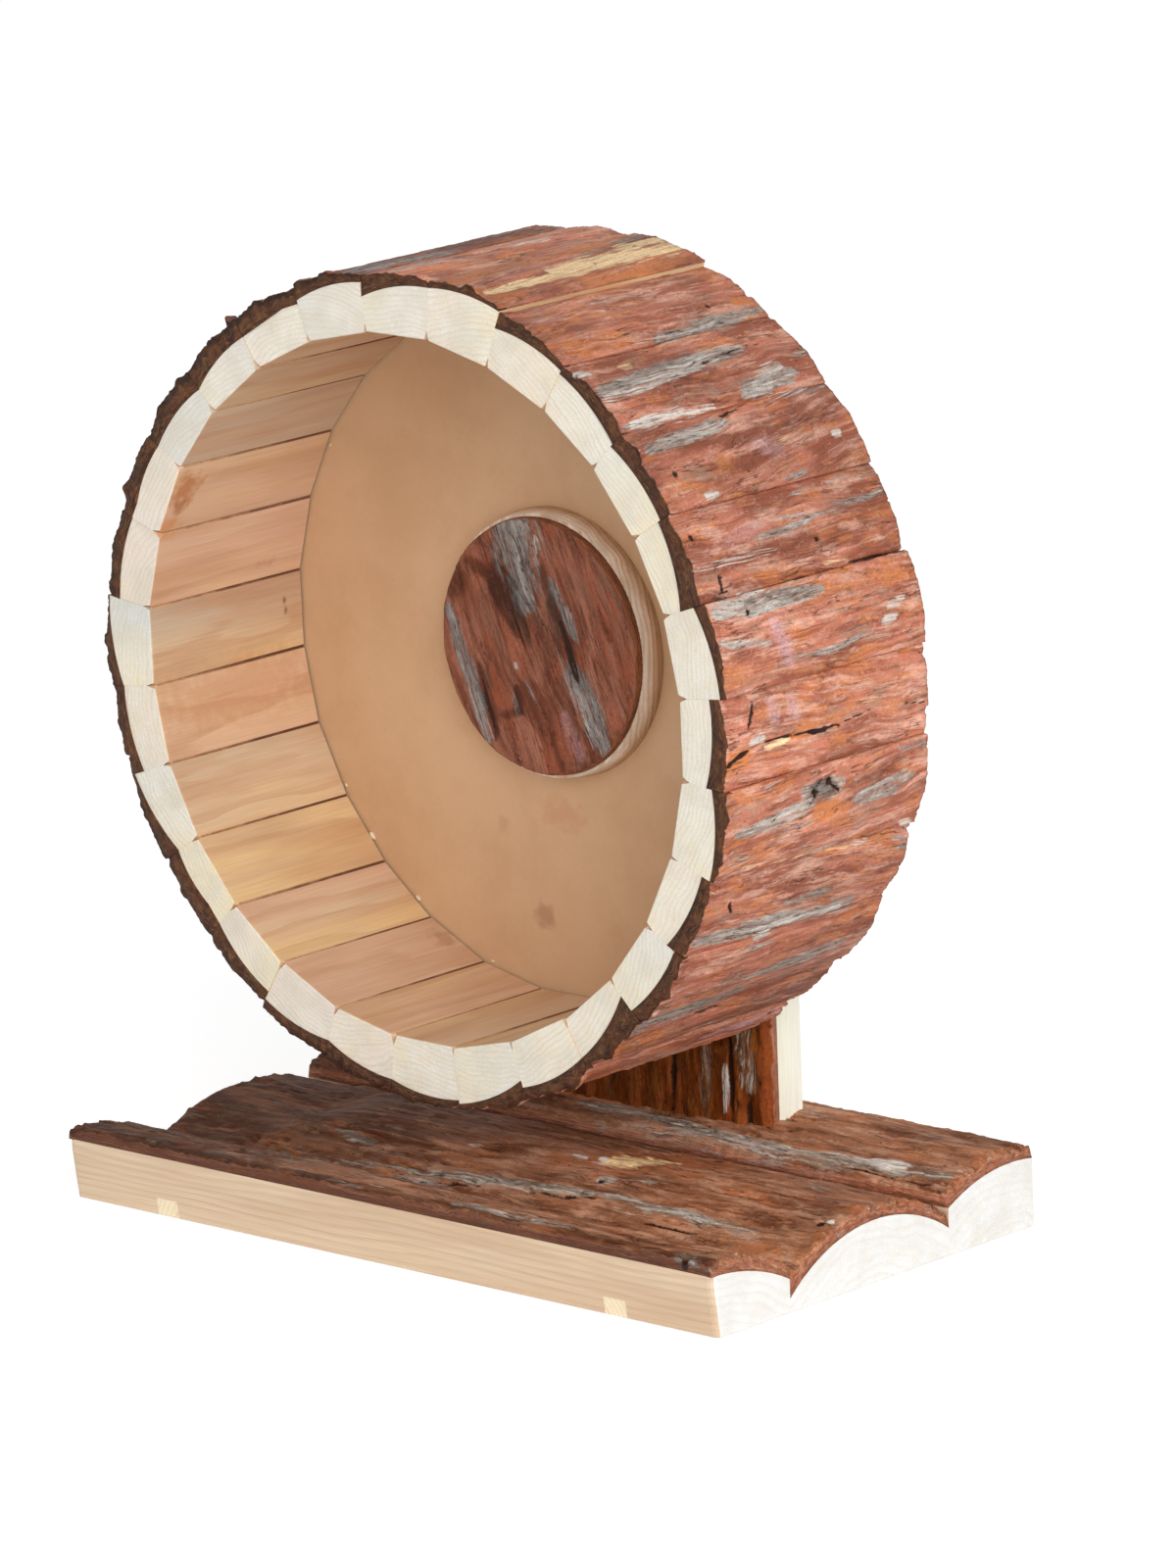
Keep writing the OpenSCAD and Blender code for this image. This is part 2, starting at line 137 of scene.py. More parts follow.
class Mark(NamedTuple):
    """A streak, chip, crack or hole that lies on a bark face from one point to another.

    across and along are the coordinates of the face: degrees round the axle on the drum,
    millimetres elsewhere. A dark stretch with a negative strength is a light one.
    """

    kind: MarkKind
    across: float
    along: float
    end_across: float
    end_along: float
    half_width: float
    strength: float = 1.0


def marks_of(rows: Dict[MarkKind, Sequence[Sequence[float]]]) -> Tuple[Mark, ...]:
    """Makes marks from their numbers, which are listed by kind."""
    return tuple(Mark(kind, *row) for kind, group in rows.items() for row in group)


@dataclass
class BarkPoint:
    """What the bark is like at one point: its lift in millimetres and its finishes from 0 to 1."""

    lift: float = 0.0
    grey: float = 0.0
    crack: float = 0.0
    pale: float = 0.0
    bare: float = 0.0
    lilac: float = 0.0
    orange: float = 0.0
    tone: float = 0.0
    # edge is a painted highlight on the rims of flakes.
    edge: float = 0.0
    # hollow is painted shade at the feet of flakes, in crumbled pits and at the sheet's darkened
    # ends.
    hollow_shade: float = 0.0


# The mesh attributes that carry a bark point's finishes to its material.
# The shade attribute also carries a painted highlight on flake rims and painted shade in hollows.
BARK_ATTRIBUTES = {
    "weather": ("grey", "crack", "pale"),
    "patch": ("bare", "lilac", "orange"),
    "shade": ("tone", "edge", "hollow_shade"),
}


class Layer(Enum):
    """How far from its seed each noise of a sheet is read, which keeps the noises apart."""

    BEND = 0.0
    WAVER = 2.0
    MARK_EDGE = 3.3
    MARK_FRAY = 5.1
    FLAKES = 11.0
    RIPPLE = 17.0
    FINE_RIPPLE = 19.0
    CRACKS = 23.0
    CRACK_PLACES = 29.0
    FIBRE = 31.0
    NAP = 33.0
    LUMPS = 37.0
    GREYNESS = 41.0
    TONE = 43.0
    RUST = 47.0
    CHIPS = 61.0
    EDGE = 71.0
    TEARS = 81.0
    CRUMBS = 91.0
    FINE_CRUMBS = 93.0


@dataclass
class BarkField:
    """Relief and weathering of a sheet of bark. u runs across the grain and v along it."""

    seed: float
    flake_lift: float = 0.4
    flake_across: float = 9.0
    flake_along: float = 38.0
    flake_steps: float = 2.5
    crack_depth: float = 0.9
    crack_across: float = 6.0
    crack_along: float = 58.0
    crack_share: float = 0.12
    fibre_lift: float = 0.1
    lump_lift: float = 0.22
    greyness: float = 0.35
    tone: float = 0.0
    # The shade ramp and its reach paint shade at the sheet's near end along v.
    painted_shade_ramp: float = 0.0
    shade_ramp_reach: float = 120.0
    rust: float = 0.0
    mark_reach: float = 2.4
    round_mark: float = 20.0
    marks: Sequence[Mark] = ()

    def grain_place(self, u: float, v: float) -> Pair:
        """Turns a point on the sheet into millimetres across and along the grain."""
        return u, v

    def wave(self, layer: Layer, x: float, y: float) -> float:
        """Reads one of the sheet's noises, which runs from about -1 to 1."""
        return noise.noise(Vector((x, y, self.seed + layer.value)))

    def rough_wave(
        self, layer: Layer, x: float, y: float, fall: float = 0.8, step: float = 2.0, count: int = 3
    ) -> float:
        """Reads one of the noises with finer ones added, each finer by step, weaker by fall."""
        return noise.fractal(Vector((x, y, self.seed + layer.value)), fall, step, count)

    def _away(self, mark: Mark, u: float, v: float) -> float:
        """Measures how far a point is from a mark, in half widths of the mark there.

        Args:
            mark: The mark, which is slimmer towards its ends unless it is short.
            u, v: The point.

        Returns:
            The distance: 1 at the mark's edge.
        """
        du, dv = mark.end_across - mark.across, mark.end_along - mark.along
        length2 = du * du + dv * dv
        t = 0.0 if length2 < 1e-6 else ((u - mark.across) * du + (v - mark.along) * dv) / length2
        t = clamp(t)
        spindle = 1.0
        if length2 >= self.round_mark:
            spindle = 0.45 + 0.65 * math.sqrt(4 * t * (1 - t) + 0.02)
        gap = math.hypot(u - mark.across - t * du, v - mark.along - t * dv)
        return gap / (mark.half_width * spindle)

    def _marked(self, point: BarkPoint, u: float, v: float) -> None:
        """Adds the marks that reach a point.

        Args:
            point: The bark there, which is changed.
            u, v: The point, in the same coordinates as the marks.
        """
        across, along = self.grain_place(u, v)
        fray = 0.7 * self.wave(Layer.MARK_EDGE, across * 0.75, along * 0.11)
        fray += 0.4 * self.wave(Layer.MARK_FRAY, across * 2.1, along * 0.32)
        for mark in self.marks:
            away = self._away(mark, u, v)
            if away > self.mark_reach:
                continue
            effect = mark.kind.value
            amount = ease(*effect.fade, 1 - away + effect.fray * fray) * mark.strength
            lift = effect.lift * (self.crack_depth if mark.kind is K.CRACK else 1.0)
            point.lift += lift * amount
            point.tone += effect.tone * amount
            if effect.finish:
                setattr(point, effect.finish, max(getattr(point, effect.finish), amount))

    def _relief(self, point: BarkPoint, x: float, y: float, w: float) -> None:
        """Gives a point its flakes, fissures, fibres and lumps.

        Args:
            point: The bark there, which is changed.
            x, y: The point, across and along the grain.
            w: The same across, bent with the fibres.
        """
        slow = self.flake_steps * self.rough_wave(
            Layer.FLAKES, w / self.flake_across, y / self.flake_along, 0.9, 2.1
        )
        ripple = 0.26 * self.wave(Layer.RIPPLE, w * 0.7, y * 0.2)
        slow += ripple + 0.12 * self.wave(Layer.FINE_RIPPLE, w * 2.0, y * 0.8)
        step = math.floor(slow)
        part = slow - step
        # A painted highlight on the rim of each flake, and painted shade at its foot.
        point.edge = ease(0.05, 0.14, part) * (1 - ease(0.16, 0.32, part))
        point.hollow_shade = max(ease(0.90, 1.0, part), 1 - ease(0.0, 0.07, part))
        fissure = abs(self.wave(Layer.CRACKS, w / self.crack_across, y / self.crack_along))
        place = 0.5 + 0.5 * self.wave(Layer.CRACK_PLACES, x / 13, y / 28)
        cracked = ease(0.55 - self.crack_share, 0.75 - self.crack_share, place)
        crack = (1 - ease(0.008, 0.05, fissure)) * cracked
        point.crack = 0.4 * crack
        point.lift = self.flake_lift * (step + ease(0.0, 0.14, part)) - self.crack_depth * crack
        point.lift += self.fibre_lift * self.wave(Layer.FIBRE, w * 1.1, y * 0.10)
        point.lift += 0.5 * self.fibre_lift * self.wave(Layer.NAP, x * 1.4, y * 1.1)
        point.lift += self.lump_lift * self.rough_wave(Layer.LUMPS, x * 0.22, y * 0.13, 1.0, 2.0, 2)

    def at(self, u: float, v: float) -> BarkPoint:
        """Works out the bark at one point.

        Args:
            u, v: The point on the sheet, in millimetres.

        Returns:
            The lift and the finishes there.
        """
        x, y = self.grain_place(u, v)
        w = x + 2.6 * self.wave(Layer.BEND, x / 28, y / 32)
        w += 0.7 * self.wave(Layer.WAVER, x / 7, y / 11)
        point = BarkPoint()
        self._relief(point, x, y, w)
        worn = self.rough_wave(Layer.GREYNESS, w / 4.5, y / 36)
        point.grey = ease(0.25, 0.75, worn + self.greyness - 0.35) * 0.75
        point.orange = self.rust * ease(-0.5, 0.5, self.wave(Layer.RUST, w / 7, y / 45))
        # Painted shade: the ramp lifts the tone from v = -reach to v = 0, so the near end is
        # darker.
        point.tone = self.tone + self.painted_shade_ramp * ease(-self.shade_ramp_reach, 0, v)
        point.tone += 0.5 * self.rough_wave(Layer.TONE, w / 9, y / 40)
        self._marked(point, u, v)
        return point


@dataclass
class TurnedField(BarkField):
    """Bark whose grain is turned on the sheet, while its marks stay where they are."""

    turn: float = 0.0

    def grain_place(self, u: float, v: float) -> Pair:
        """Turns a point on the sheet into millimetres across and along the turned grain."""
        cos, sin = math.cos(self.turn), math.sin(self.turn)
        return u * cos + v * sin, v * cos - u * sin


# Nodes and finishes


class Noise(NamedTuple):
    """A noise of the nodes: its scales on three axes, its finer layers and their strength."""

    scale: Triple
    detail: float = 3.0
    rough: float = 0.55


class Graph:
    """Adds nodes to one node tree and joins them. Its values are sockets, numbers or colours."""

    def __init__(self, tree: NodeTree) -> None:
        """Keeps the tree that the nodes go into."""
        self.tree = tree

    def feed(self, socket: NodeSocket, value: object) -> None:
        """Links a socket to another, or sets its value.

        Args:
            socket: The input.
            value: An output socket, or a number, vector or colour.
        """
        if isinstance(value, NodeSocket):
            self.tree.links.new(value, socket)
        else:
            socket.default_value = value

    def add(self, kind: str, feeds: Optional[Dict] = None, **settings: object) -> Node:
        """Adds one node.

        Args:
            kind: The node's type, without the word that all shader nodes start with.
            feeds: Values or sockets for its inputs, by name or number.
            **settings: Its own settings.

        Returns:
            The node.
        """
        node = self.tree.nodes.new(kind if kind.startswith("NodeGroup") else f"ShaderNode{kind}")
        for name, value in settings.items():
            setattr(node, name, value)
        for name, value in (feeds or {}).items():
            self.feed(node.inputs[name], value)
        return node

    def sum(self, operation: str, *values: object) -> NodeSocket:
        """Adds a Math node of one to three inputs and gives its result."""
        return self.add("Math", dict(enumerate(values)), operation=operation).outputs[0]

    def vector(self, operation: str, *values: object) -> Node:
        """Adds a Vector Math node and gives all of it, as its output depends on the operation."""
        return self.add("VectorMath", dict(enumerate(values)), operation=operation)

    def stretch(self, vector: object, scale: Sequence[float]) -> NodeSocket:
        """Scales a vector axis by axis."""
        return self.vector("MULTIPLY", vector, tuple(scale)).outputs[0]

    def swing(self, value: object, reach: float, start: object = 0.0) -> NodeSocket:
        """Turns a noise, 0.5 in the middle, into a swing to both sides of a start."""
        return self.sum("MULTIPLY_ADD", self.sum("SUBTRACT", value, 0.5), reach, start)

    def noise(self, vector: object, kind: Noise) -> NodeSocket:
        """Adds a noise, read at a vector. Its values are about 0.25 to 0.75."""
        feeds = {"Vector": self.stretch(vector, kind.scale), "Scale": 1.0, "Detail": kind.detail}
        return self.add("TexNoise", {**feeds, "Roughness": kind.rough}).outputs[0]

    def band(
        self, value: object, low: float, high: float, start: float = 0.0, end: float = 1.0
    ) -> NodeSocket:
        """Eases from start to end as a value goes from low to high."""
        feeds = {"Value": value, "From Min": low, "From Max": high, "To Min": start, "To Max": end}
        return self.add("MapRange", feeds, interpolation_type="SMOOTHSTEP").outputs[0]

    def line(self, value: object, low: float, high: float, start: float) -> NodeSocket:
        """Draws a line where a noise passes its middle. It fades from low to high beside that."""
        away = self.sum("ABSOLUTE", self.sum("SUBTRACT", value, 0.5))
        return self.band(away, low, high, start, 0.0)

    def mix(
        self, share: object, first: object, second: object, blend: str = "MIX"
    ) -> NodeSocket:
        """Mixes two colours, with a share of the second."""
        kinds = {"data_type": "RGBA", "blend_type": blend, "clamp_factor": True}
        return self.add("Mix", {0: share, 6: first, 7: second}, **kinds).outputs[2]

    def shaded(self, colour: object, shade: object) -> NodeSocket:
        """Makes a colour lighter or darker by a factor."""
        grey = self.add("CombineColor", {0: shade, 1: shade, 2: shade}).outputs[0]
        return self.mix(1.0, colour, grey, "MULTIPLY")

    def parts(self, vector: object) -> List[NodeSocket]:
        """Splits a vector in its three parts."""
        return list(self.add("SeparateXYZ", {0: vector}).outputs)

    def attribute(self, name: str) -> NodeSocket:
        """Reads one of the piece's own attributes."""
        return self.add("Attribute", attribute_name=name).outputs["Vector"]

    def place(self) -> NodeSocket:
        """Reads where a point of the object is, in millimetres."""
        return self.stretch(self.add("TexCoord").outputs["Object"], (1 / MM, 1 / MM, 1 / MM))

    def bump(self, height: object, depth: float, strength: float) -> NodeSocket:
        """Makes a normal of fine relief, whose depth is in millimetres."""
        feeds = {"Height": height, "Strength": strength, "Distance": depth * MM}
        return self.add("Bump", feeds).outputs[0]

    def backdrop(self) -> NodeSocket:
        """Tells where a surface is seen, straight, mirrored or through glass.

        Returns:
            1 there, and 0 for the light that it sends to other things.
        """
        rays = self.add("LightPath").outputs
        mirrored = self.sum("MAXIMUM", rays["Is Glossy Ray"], rays["Is Transmission Ray"])
        return self.sum("MAXIMUM", rays["Is Camera Ray"], mirrored)


class GroupKind(Enum):
    """Effects that several finishes share, each a node group of that name."""

    RINGS = "wood_rings"
    BARK = "bark_weathering"
    GRIT = "metal_grit"


RING_NOISES = {
    "wander": Noise((0.045, 0.009, 0.045), 2.0),
    "ripple": Noise((0.5, 0.02, 0.5), 2.0),
    "fibre": Noise((2.6, 0.045, 2.6), 3.0, 0.6),
    "cloud": Noise((0.09, 0.012, 0.09)),
}
SEASONS = Noise((0.37, 1.0, 1.0), 1.0)

# The third scale reads another layer of the same noise, so that no two patterns fall together.
BARK_NOISES = {
    "slow": Noise((0.14, 0.032, 1.0)),
    "streak": Noise((0.55, 0.034, 1.0), 4.0, 0.6),
    "fibre": Noise((1.9, 0.065, 1.0), 4.0, 0.6),
    "thread": Noise((1.15, 0.050, 1.0), 4.0, 0.65),
    "grit": Noise((1.5, 1.0, 1.0), 5.0, 0.6),
    "splinter": Noise((1.5, 0.26, 1.0), 4.0, 0.6),
    "pits": Noise((0.8, 0.40, 1.0), 2.0, 0.5),
    "blot": Noise((0.22, 0.060, 2.3), 4.0, 0.65),
    "rust": Noise((0.18, 0.048, 3.1), 4.0, 0.65),
    "rose": Noise((0.26, 0.055, 4.1), 4.0, 0.65),
    "line": Noise((0.55, 0.018, 4.7), 2.0, 0.4),
    "hair": Noise((0.40, 0.036, 5.3), 3.0),
    "sparse": Noise((0.13, 0.060, 6.1), 2.0, 0.5),
}
BARK_COLOURS = (
    "Deep", "Middle", "Light", "Dull", "Grey", "Pale", "Crack", "Bare", "Lilac", "Orange",
)  # fmt: skip

# The coats of healthy bark over its deep colour: the noise, the pull of the tone on it,
# where the coat starts and ends, its strength and its colour.
BARK_COATS = (
    ("slow", 0.10, 0.40, 0.60, 1.0, "Middle"),
    ("rust", 0.0, 0.50, 0.62, 0.85, "Orange"),
    ("blot", 0.0, 0.52, 0.66, 0.75, "Dull"),
    ("rose", 0.06, 0.50, 0.64, 0.68, "Light"),
    ("streak", 0.0, 0.54, 0.68, 0.45, "Light"),
    ("streak", 0.0, 0.46, 0.34, 0.75, "Deep"),
)


class Groups:
    """Builds each shared node group once."""

    def __init__(self) -> None:
        """Starts with no group made."""
        self._made: Dict[GroupKind, NodeTree] = {}

    def get(self, kind: GroupKind) -> NodeTree:
        """Returns a shared group, which is made the first time.

        Args:
            kind: Which group.

        Returns:
            The group's tree.
        """
        if kind not in self._made:
            makers = {
                GroupKind.RINGS: self._rings,
                GroupKind.BARK: self._bark,
                GroupKind.GRIT: self._grit,
            }
            self._made[kind] = makers[kind](kind.value)
        return self._made[kind]

    @staticmethod
    def _start(name: str, inputs: Dict[str, str], outputs: Sequence[str]) -> Tuple[Graph, Dict]:
        """Makes an empty group.

        Args:
            name: The group's name.
            inputs: The kinds of its inputs, by name.
            outputs: The names of its outputs. Each is a value but the colour.

        Returns:
            The group's graph and its inputs by name.
        """
        tree = bpy.data.node_groups.new(name, "ShaderNodeTree")
        for label, kind in inputs.items():
            tree.interface.new_socket(label, in_out="INPUT", socket_type=f"NodeSocket{kind}")
        for label in outputs:
            kind = "NodeSocketColor" if label == "Color" else "NodeSocketFloat"
            tree.interface.new_socket(label, in_out="OUTPUT", socket_type=kind)
        graph = Graph(tree)
        source = graph.add("NodeGroupInput")
        return graph, {label: source.outputs[label] for label in inputs}

    def _rings(self, name: str) -> NodeTree:
        """Makes the growth rings of a log, read in the log's own place with the grain along Y.

        Args:
            name: The group's name.

        Returns:
            The group.
        """
        kinds = {"Log": "Vector", "Ground": "Color", "Late": "Color"}
        kinds.update({"Ring Width": "Float", "Contrast": "Float"})
        g, put = self._start(name, kinds, ("Color", "Height"))
        n = {label: g.noise(put["Log"], kind) for label, kind in RING_NOISES.items()}
        x, _, z = g.parts(put["Log"])
        radius = g.sum("SQRT", g.sum("ADD", g.sum("MULTIPLY", x, x), g.sum("MULTIPLY", z, z)))
        radius = g.swing(n["ripple"], 0.9, g.swing(n["wander"], 9.0, radius))
        turns = g.sum("DIVIDE", radius, put["Ring Width"])
        part = g.sum("FRACT", turns)
        late = g.sum("MULTIPLY", g.band(part, 0.35, 0.88), g.band(part, 1.0, 0.93))
        seasons = g.noise(g.add("CombineXYZ", {0: turns}).outputs[0], SEASONS)
        late = g.sum("MULTIPLY", late, g.band(seasons, 0.3, 0.7, 0.35, 1.0))
        ground = g.mix(g.band(n["cloud"], 0.40, 0.70, 0.0, 0.5), put["Ground"], put["Late"])
        ground = g.mix(g.sum("MULTIPLY", late, put["Contrast"]), ground, put["Late"])
        colour = g.shaded(ground, g.band(n["fibre"], 0.25, 0.75, 0.91, 1.06))
        height = g.sum("MULTIPLY_ADD", late, 0.5, n["fibre"])
        g.add("NodeGroupOutput", {"Color": colour, "Height": height})
        return g.tree

    @staticmethod
    def _bent(g: Graph, grain: object) -> NodeSocket:
        """Bends the grain of bark a little to both sides.

        Args:
            g: The group's graph.
            grain: The straight grain.

        Returns:
            The bent grain.
        """
        feeds = {"Vector": g.stretch(grain, (0.05, 0.03, 1.0)), "Scale": 1.0, "Detail": 2.0}
        bend = g.add("TexNoise", feeds).outputs[1]
        bend = g.vector("SUBTRACT", bend, (0.5, 0.5, 0.5)).outputs[0]
        return g.vector("ADD", grain, g.stretch(bend, (7.0, 3.0, 0.0))).outputs[0]

    @staticmethod
    def _laid(
        g: Graph, base: object, over: object, amount: object, threads: object,
        limits: Pair = (0.34, 0.92),
    ) -> NodeSocket:  # fmt: skip
        """Lays an amount of a finish over the base colour, broken up into threads."""
        share = g.band(g.swing(threads, 2.4, amount), *limits)
        return g.mix(g.sum("MULTIPLY", share, g.band(amount, 0.02, 0.3)), base, over)

    @staticmethod
    def _worn(g: Graph, n: Dict, put: Dict) -> NodeSocket:
        """Makes the colour of weathered bark.

        Args:
            g: The group's graph.
            n: Its noises.
            put: Its inputs.

        Returns:
            The colour.
        """
        dark = g.mix(0.45, put["Grey"], put["Deep"])
        worn = g.mix(g.band(n["fibre"], 0.34, 0.58), dark, put["Grey"])
        pale = g.mix(0.35, put["Pale"], put["Grey"])
        worn = g.mix(g.band(n["streak"], 0.46, 0.60, 0.0, 0.8), worn, pale)
        worn = g.mix(g.band(n["splinter"], 0.54, 0.66, 0.0, 0.6), worn, put["Pale"])
        return g.mix(g.band(n["splinter"], 0.46, 0.35, 0.0, 0.7), worn, put["Crack"])

    def _bark(self, name: str) -> NodeTree:
        """Makes bark, read in its own millimetres: X across the grain, Y along it.

        Args:
            name: The group's name.

        Returns:
            The group.
        """
        kinds = {label.capitalize(): "Vector" for label in ("grain", *BARK_ATTRIBUTES)}
        kinds.update({label: "Color" for label in BARK_COLOURS})
        g, put = self._start(name, kinds, ("Color", "Roughness", "Height"))
        grain = self._bent(g, put["Grain"])
        n = {label: g.noise(grain, kind) for label, kind in BARK_NOISES.items()}
        grey, crack, pale = g.parts(put["Weather"])
        bare, lilac, orange = g.parts(put["Patch"])
        tone, edge, hollow_shade = g.parts(put["Shade"])
        colour = put["Deep"]
        for label, pull, low, high, most, finish in BARK_COATS:
            value = g.sum("MULTIPLY_ADD", tone, pull, n[label]) if pull else n[label]
            colour = g.mix(g.band(value, low, high, 0.0, most), colour, put[finish])
        colour = self._laid(g, colour, put["Orange"], orange, n["rust"], (0.2, 1.1))
        # Painted highlight: flake rims are mixed towards the light colour.
        rim = g.sum("MULTIPLY", edge, g.band(n["grit"], 0.42, 0.62, 0.0, 0.32))
        colour = g.mix(rim, colour, put["Light"])
        scratch = g.line(n["line"], 0.0, 0.016, 0.35)
        scratch = g.sum("MULTIPLY", scratch, g.band(n["blot"], 0.44, 0.56))
        colour = g.mix(scratch, colour, put["Light"])
        colour = self._laid(g, colour, self._worn(g, n, put), grey, n["thread"])
        skin = g.sum("MULTIPLY", lilac, g.band(n["grit"], 0.25, 0.75, 0.35, 0.75))
        colour = g.mix(skin, colour, put["Lilac"])
        colour = self._laid(g, colour, put["Bare"], bare, n["thread"], (0.4, 1.0))
        colour = self._laid(g, colour, put["Pale"], pale, n["fibre"], (0.5, 1.05))
        shade = g.band(n["fibre"], 0.28, 0.72, 0.86, 1.12)
        shade = g.sum("MULTIPLY", shade, g.band(n["grit"], 0.30, 0.70, 0.84, 1.13))
        shade = g.sum("MULTIPLY", shade, g.band(tone, -2.0, 1.4, 0.46, 1.32))
        colour = g.shaded(colour, shade)
        # Painted shade at the feet of flakes and in pits, mixed towards the crack colour.
        painted_shade_share = g.sum("MULTIPLY", hollow_shade, g.band(n["fibre"], 0.35, 0.6, 0.42, 0.10))
        dark = g.sum("MAXIMUM", g.band(n["pits"], 0.24, 0.20, 0.0, 0.5), painted_shade_share)
        hairs = g.line(n["hair"], 0.004, 0.015, 0.72)
        hairs = g.sum("MULTIPLY", hairs, g.band(n["sparse"], 0.48, 0.58))
        dark = g.sum("MAXIMUM", dark, hairs)
        cut = g.band(g.swing(n["grit"], 0.8, crack), 0.25, 0.60)
        height = g.sum("MULTIPLY", n["streak"], 0.8)
        for label, share in (("grit", 0.9), ("fibre", 0.6)):
            height = g.sum("MULTIPLY_ADD", n[label], share, height)
        outputs = {
            "Color": g.mix(g.sum("MAXIMUM", cut, dark), colour, put["Crack"]),
            "Roughness": g.band(n["grit"], 0.3, 0.7, 0.46, 0.74),
            "Height": g.sum("MULTIPLY_ADD", dark, -0.35, height),
        }
        g.add("NodeGroupOutput", outputs)
        return g.tree

    def _grit(self, name: str) -> NodeTree:
        """Makes the fine grit and smears on plated metal and plastic, read in millimetres.

        Args:
            name: The group's name.

        Returns:
            The group.
        """
        kinds = {"Place": "Vector", "Clean": "Color", "Dull": "Color"}
        g, put = self._start(name, kinds, ("Color", "Roughness", "Height"))
        smear = g.noise(put["Place"], Noise((0.35, 0.35, 0.35), 4.0))
        outputs = {
            "Color": g.mix(g.band(smear, 0.4, 0.7), put["Clean"], put["Dull"]),
            "Roughness": g.band(smear, 0.3, 0.7, 0.28, 0.40),
            "Height": g.noise(put["Place"], Noise((3.0, 3.0, 3.0))),
        }
        g.add("NodeGroupOutput", outputs)
        return g.tree


GROUPS = Groups()


def plain_material(name: str, feeds: Callable[[Graph], Feeds]) -> Material:
    """Makes a material of one Principled shader.

    Args:
        name: The material's name.
        feeds: Works out the shader's inputs, by name, in the material's graph.

    Returns:
        The material.
    """
    material = bpy.data.materials.new(name)
    material.use_nodes = True
    material.node_tree.nodes.clear()
    graph = Graph(material.node_tree)
    shader = graph.add("BsdfPrincipled", feeds(graph))
    graph.add("OutputMaterial", {"Surface": shader.outputs[0]})
    return material


def grouped(graph: Graph, kind: GroupKind, feeds: Feeds) -> Dict:
    """Adds a shared group to a material.

    Args:
        graph: The material's graph.
        kind: Which group.
        feeds: Its inputs by name.

    Returns:
        The group's outputs by name.
    """
    node = graph.add("Group", node_tree=GROUPS.get(kind))
    for name, value in feeds.items():
        graph.feed(node.inputs[name], value)
    return dict(node.outputs.items())


class Stain(NamedTuple):
    """A knot or smudge that a finish shows at one place of the object, in millimetres."""

    place: Triple
    reach: Triple
    colour: Rgb
    strength: float


STAIN_EDGE = Noise((0.32, 0.32, 0.32), 3.0, 0.5)


def stained(graph: Graph, colour: object, stains: Sequence[Stain]) -> object:
    """Lays stains over a colour.

    Args:
        graph: The material's graph.
        colour: The colour below.
        stains: The stains.

    Returns:
        The colour with its stains.
    """
    if not stains:
        return colour
    place = graph.place()
    rough = graph.noise(place, STAIN_EDGE)
    for stain in stains:
        away = graph.vector("SUBTRACT", place, stain.place).outputs[0]
        reach = graph.stretch(away, tuple(1 / r for r in stain.reach))
        near = graph.vector("LENGTH", reach).outputs["Value"]
        share = graph.band(graph.swing(rough, 1.8, near), 1.3, 0.3, 0.0, stain.strength)
        colour = graph.mix(share, colour, srgb(stain.colour))
    return colour


@dataclass(frozen=True)
class Finish:
    """A finish: a material that is named and made from its own colours and measures."""

    name: str

    def feeds(self, g: Graph) -> Feeds:
        """Works out the shader's inputs. Each kind of finish has its own way."""
        raise NotImplementedError(self.name)

    @cached_property
    def material(self) -> Material:
        """The material, which is made the first time."""
        return plain_material(self.name, self.feeds)


@dataclass(frozen=True)
class WoodFinish(Finish):
    """Pine, sawn along or across its rings. It reads the piece's own log coordinates and tints.

    tints are the colours of wood that is pink, grey and golden.
    """

    early: Rgb
    late: Rgb
    tints: Tuple[Rgb, Rgb, Rgb]
    ring_width: float
    contrast: float
    roughness: float = 0.6
    relief: float = 0.12
    stains: Tuple[Stain, ...] = ()
    patches: Noise = Noise((0.16, 0.02, 0.16), 4.0)

    def feeds(self, g: Graph) -> Feeds:
        """Works out the shader's inputs.

        Args:
            g: The material's graph.

        Returns:
            The inputs by name.
        """
        log = g.attribute("grain")
        shares = g.parts(g.attribute("tint"))
        patchy = g.swing(g.noise(log, self.patches), 1.4)
        ground: object = srgb(self.early)
        for amount, tint in zip(shares, self.tints):
            ground = g.mix(g.band(g.sum("ADD", amount, patchy), 0.0, 1.0), ground, srgb(tint))
        looks = {"Log": log, "Ground": ground, "Late": srgb(self.late)}
        looks.update({"Ring Width": self.ring_width, "Contrast": self.contrast})
        rings = grouped(g, GroupKind.RINGS, looks)
        return {
            "Base Color": stained(g, rings["Color"], self.stains),
            "Roughness": self.roughness,
            "Normal": g.bump(rings["Height"], self.relief, 0.5),
        }


@dataclass(frozen=True)
class JointShadeFinish(Finish):
    """The eased inner edge of a slat, in painted shade that darkens from the front rim to the
    panel.
    """

    light: Rgb
    dark: Rgb
    dark_from: float = -46.0
    dark_to: float = 2.0
    wander: float = 70.0
    patches: Noise = Noise((0.35, 0.16, 0.35), 4.0)
    grit: Noise = Noise((1.6, 0.8, 1.6), 4.0)

    def feeds(self, g: Graph) -> Feeds:
        """Works out the shader's inputs.

        Args:
            g: The material's graph.

        Returns:
            The inputs by name.
        """
        place = g.place()
        dark = srgb(self.dark)
        depth = g.swing(g.noise(place, self.patches), self.wander, g.parts(place)[1])
        colour = g.mix(g.band(depth, self.dark_from, self.dark_to), srgb(self.light), dark)
        grit = g.noise(place, self.grit)
        return {
            "Base Color": g.mix(g.band(grit, 0.45, 0.7, 0.0, 0.35), colour, dark),
            "Roughness": 0.75,
            "Normal": g.bump(grit, 0.15, 0.6),
        }


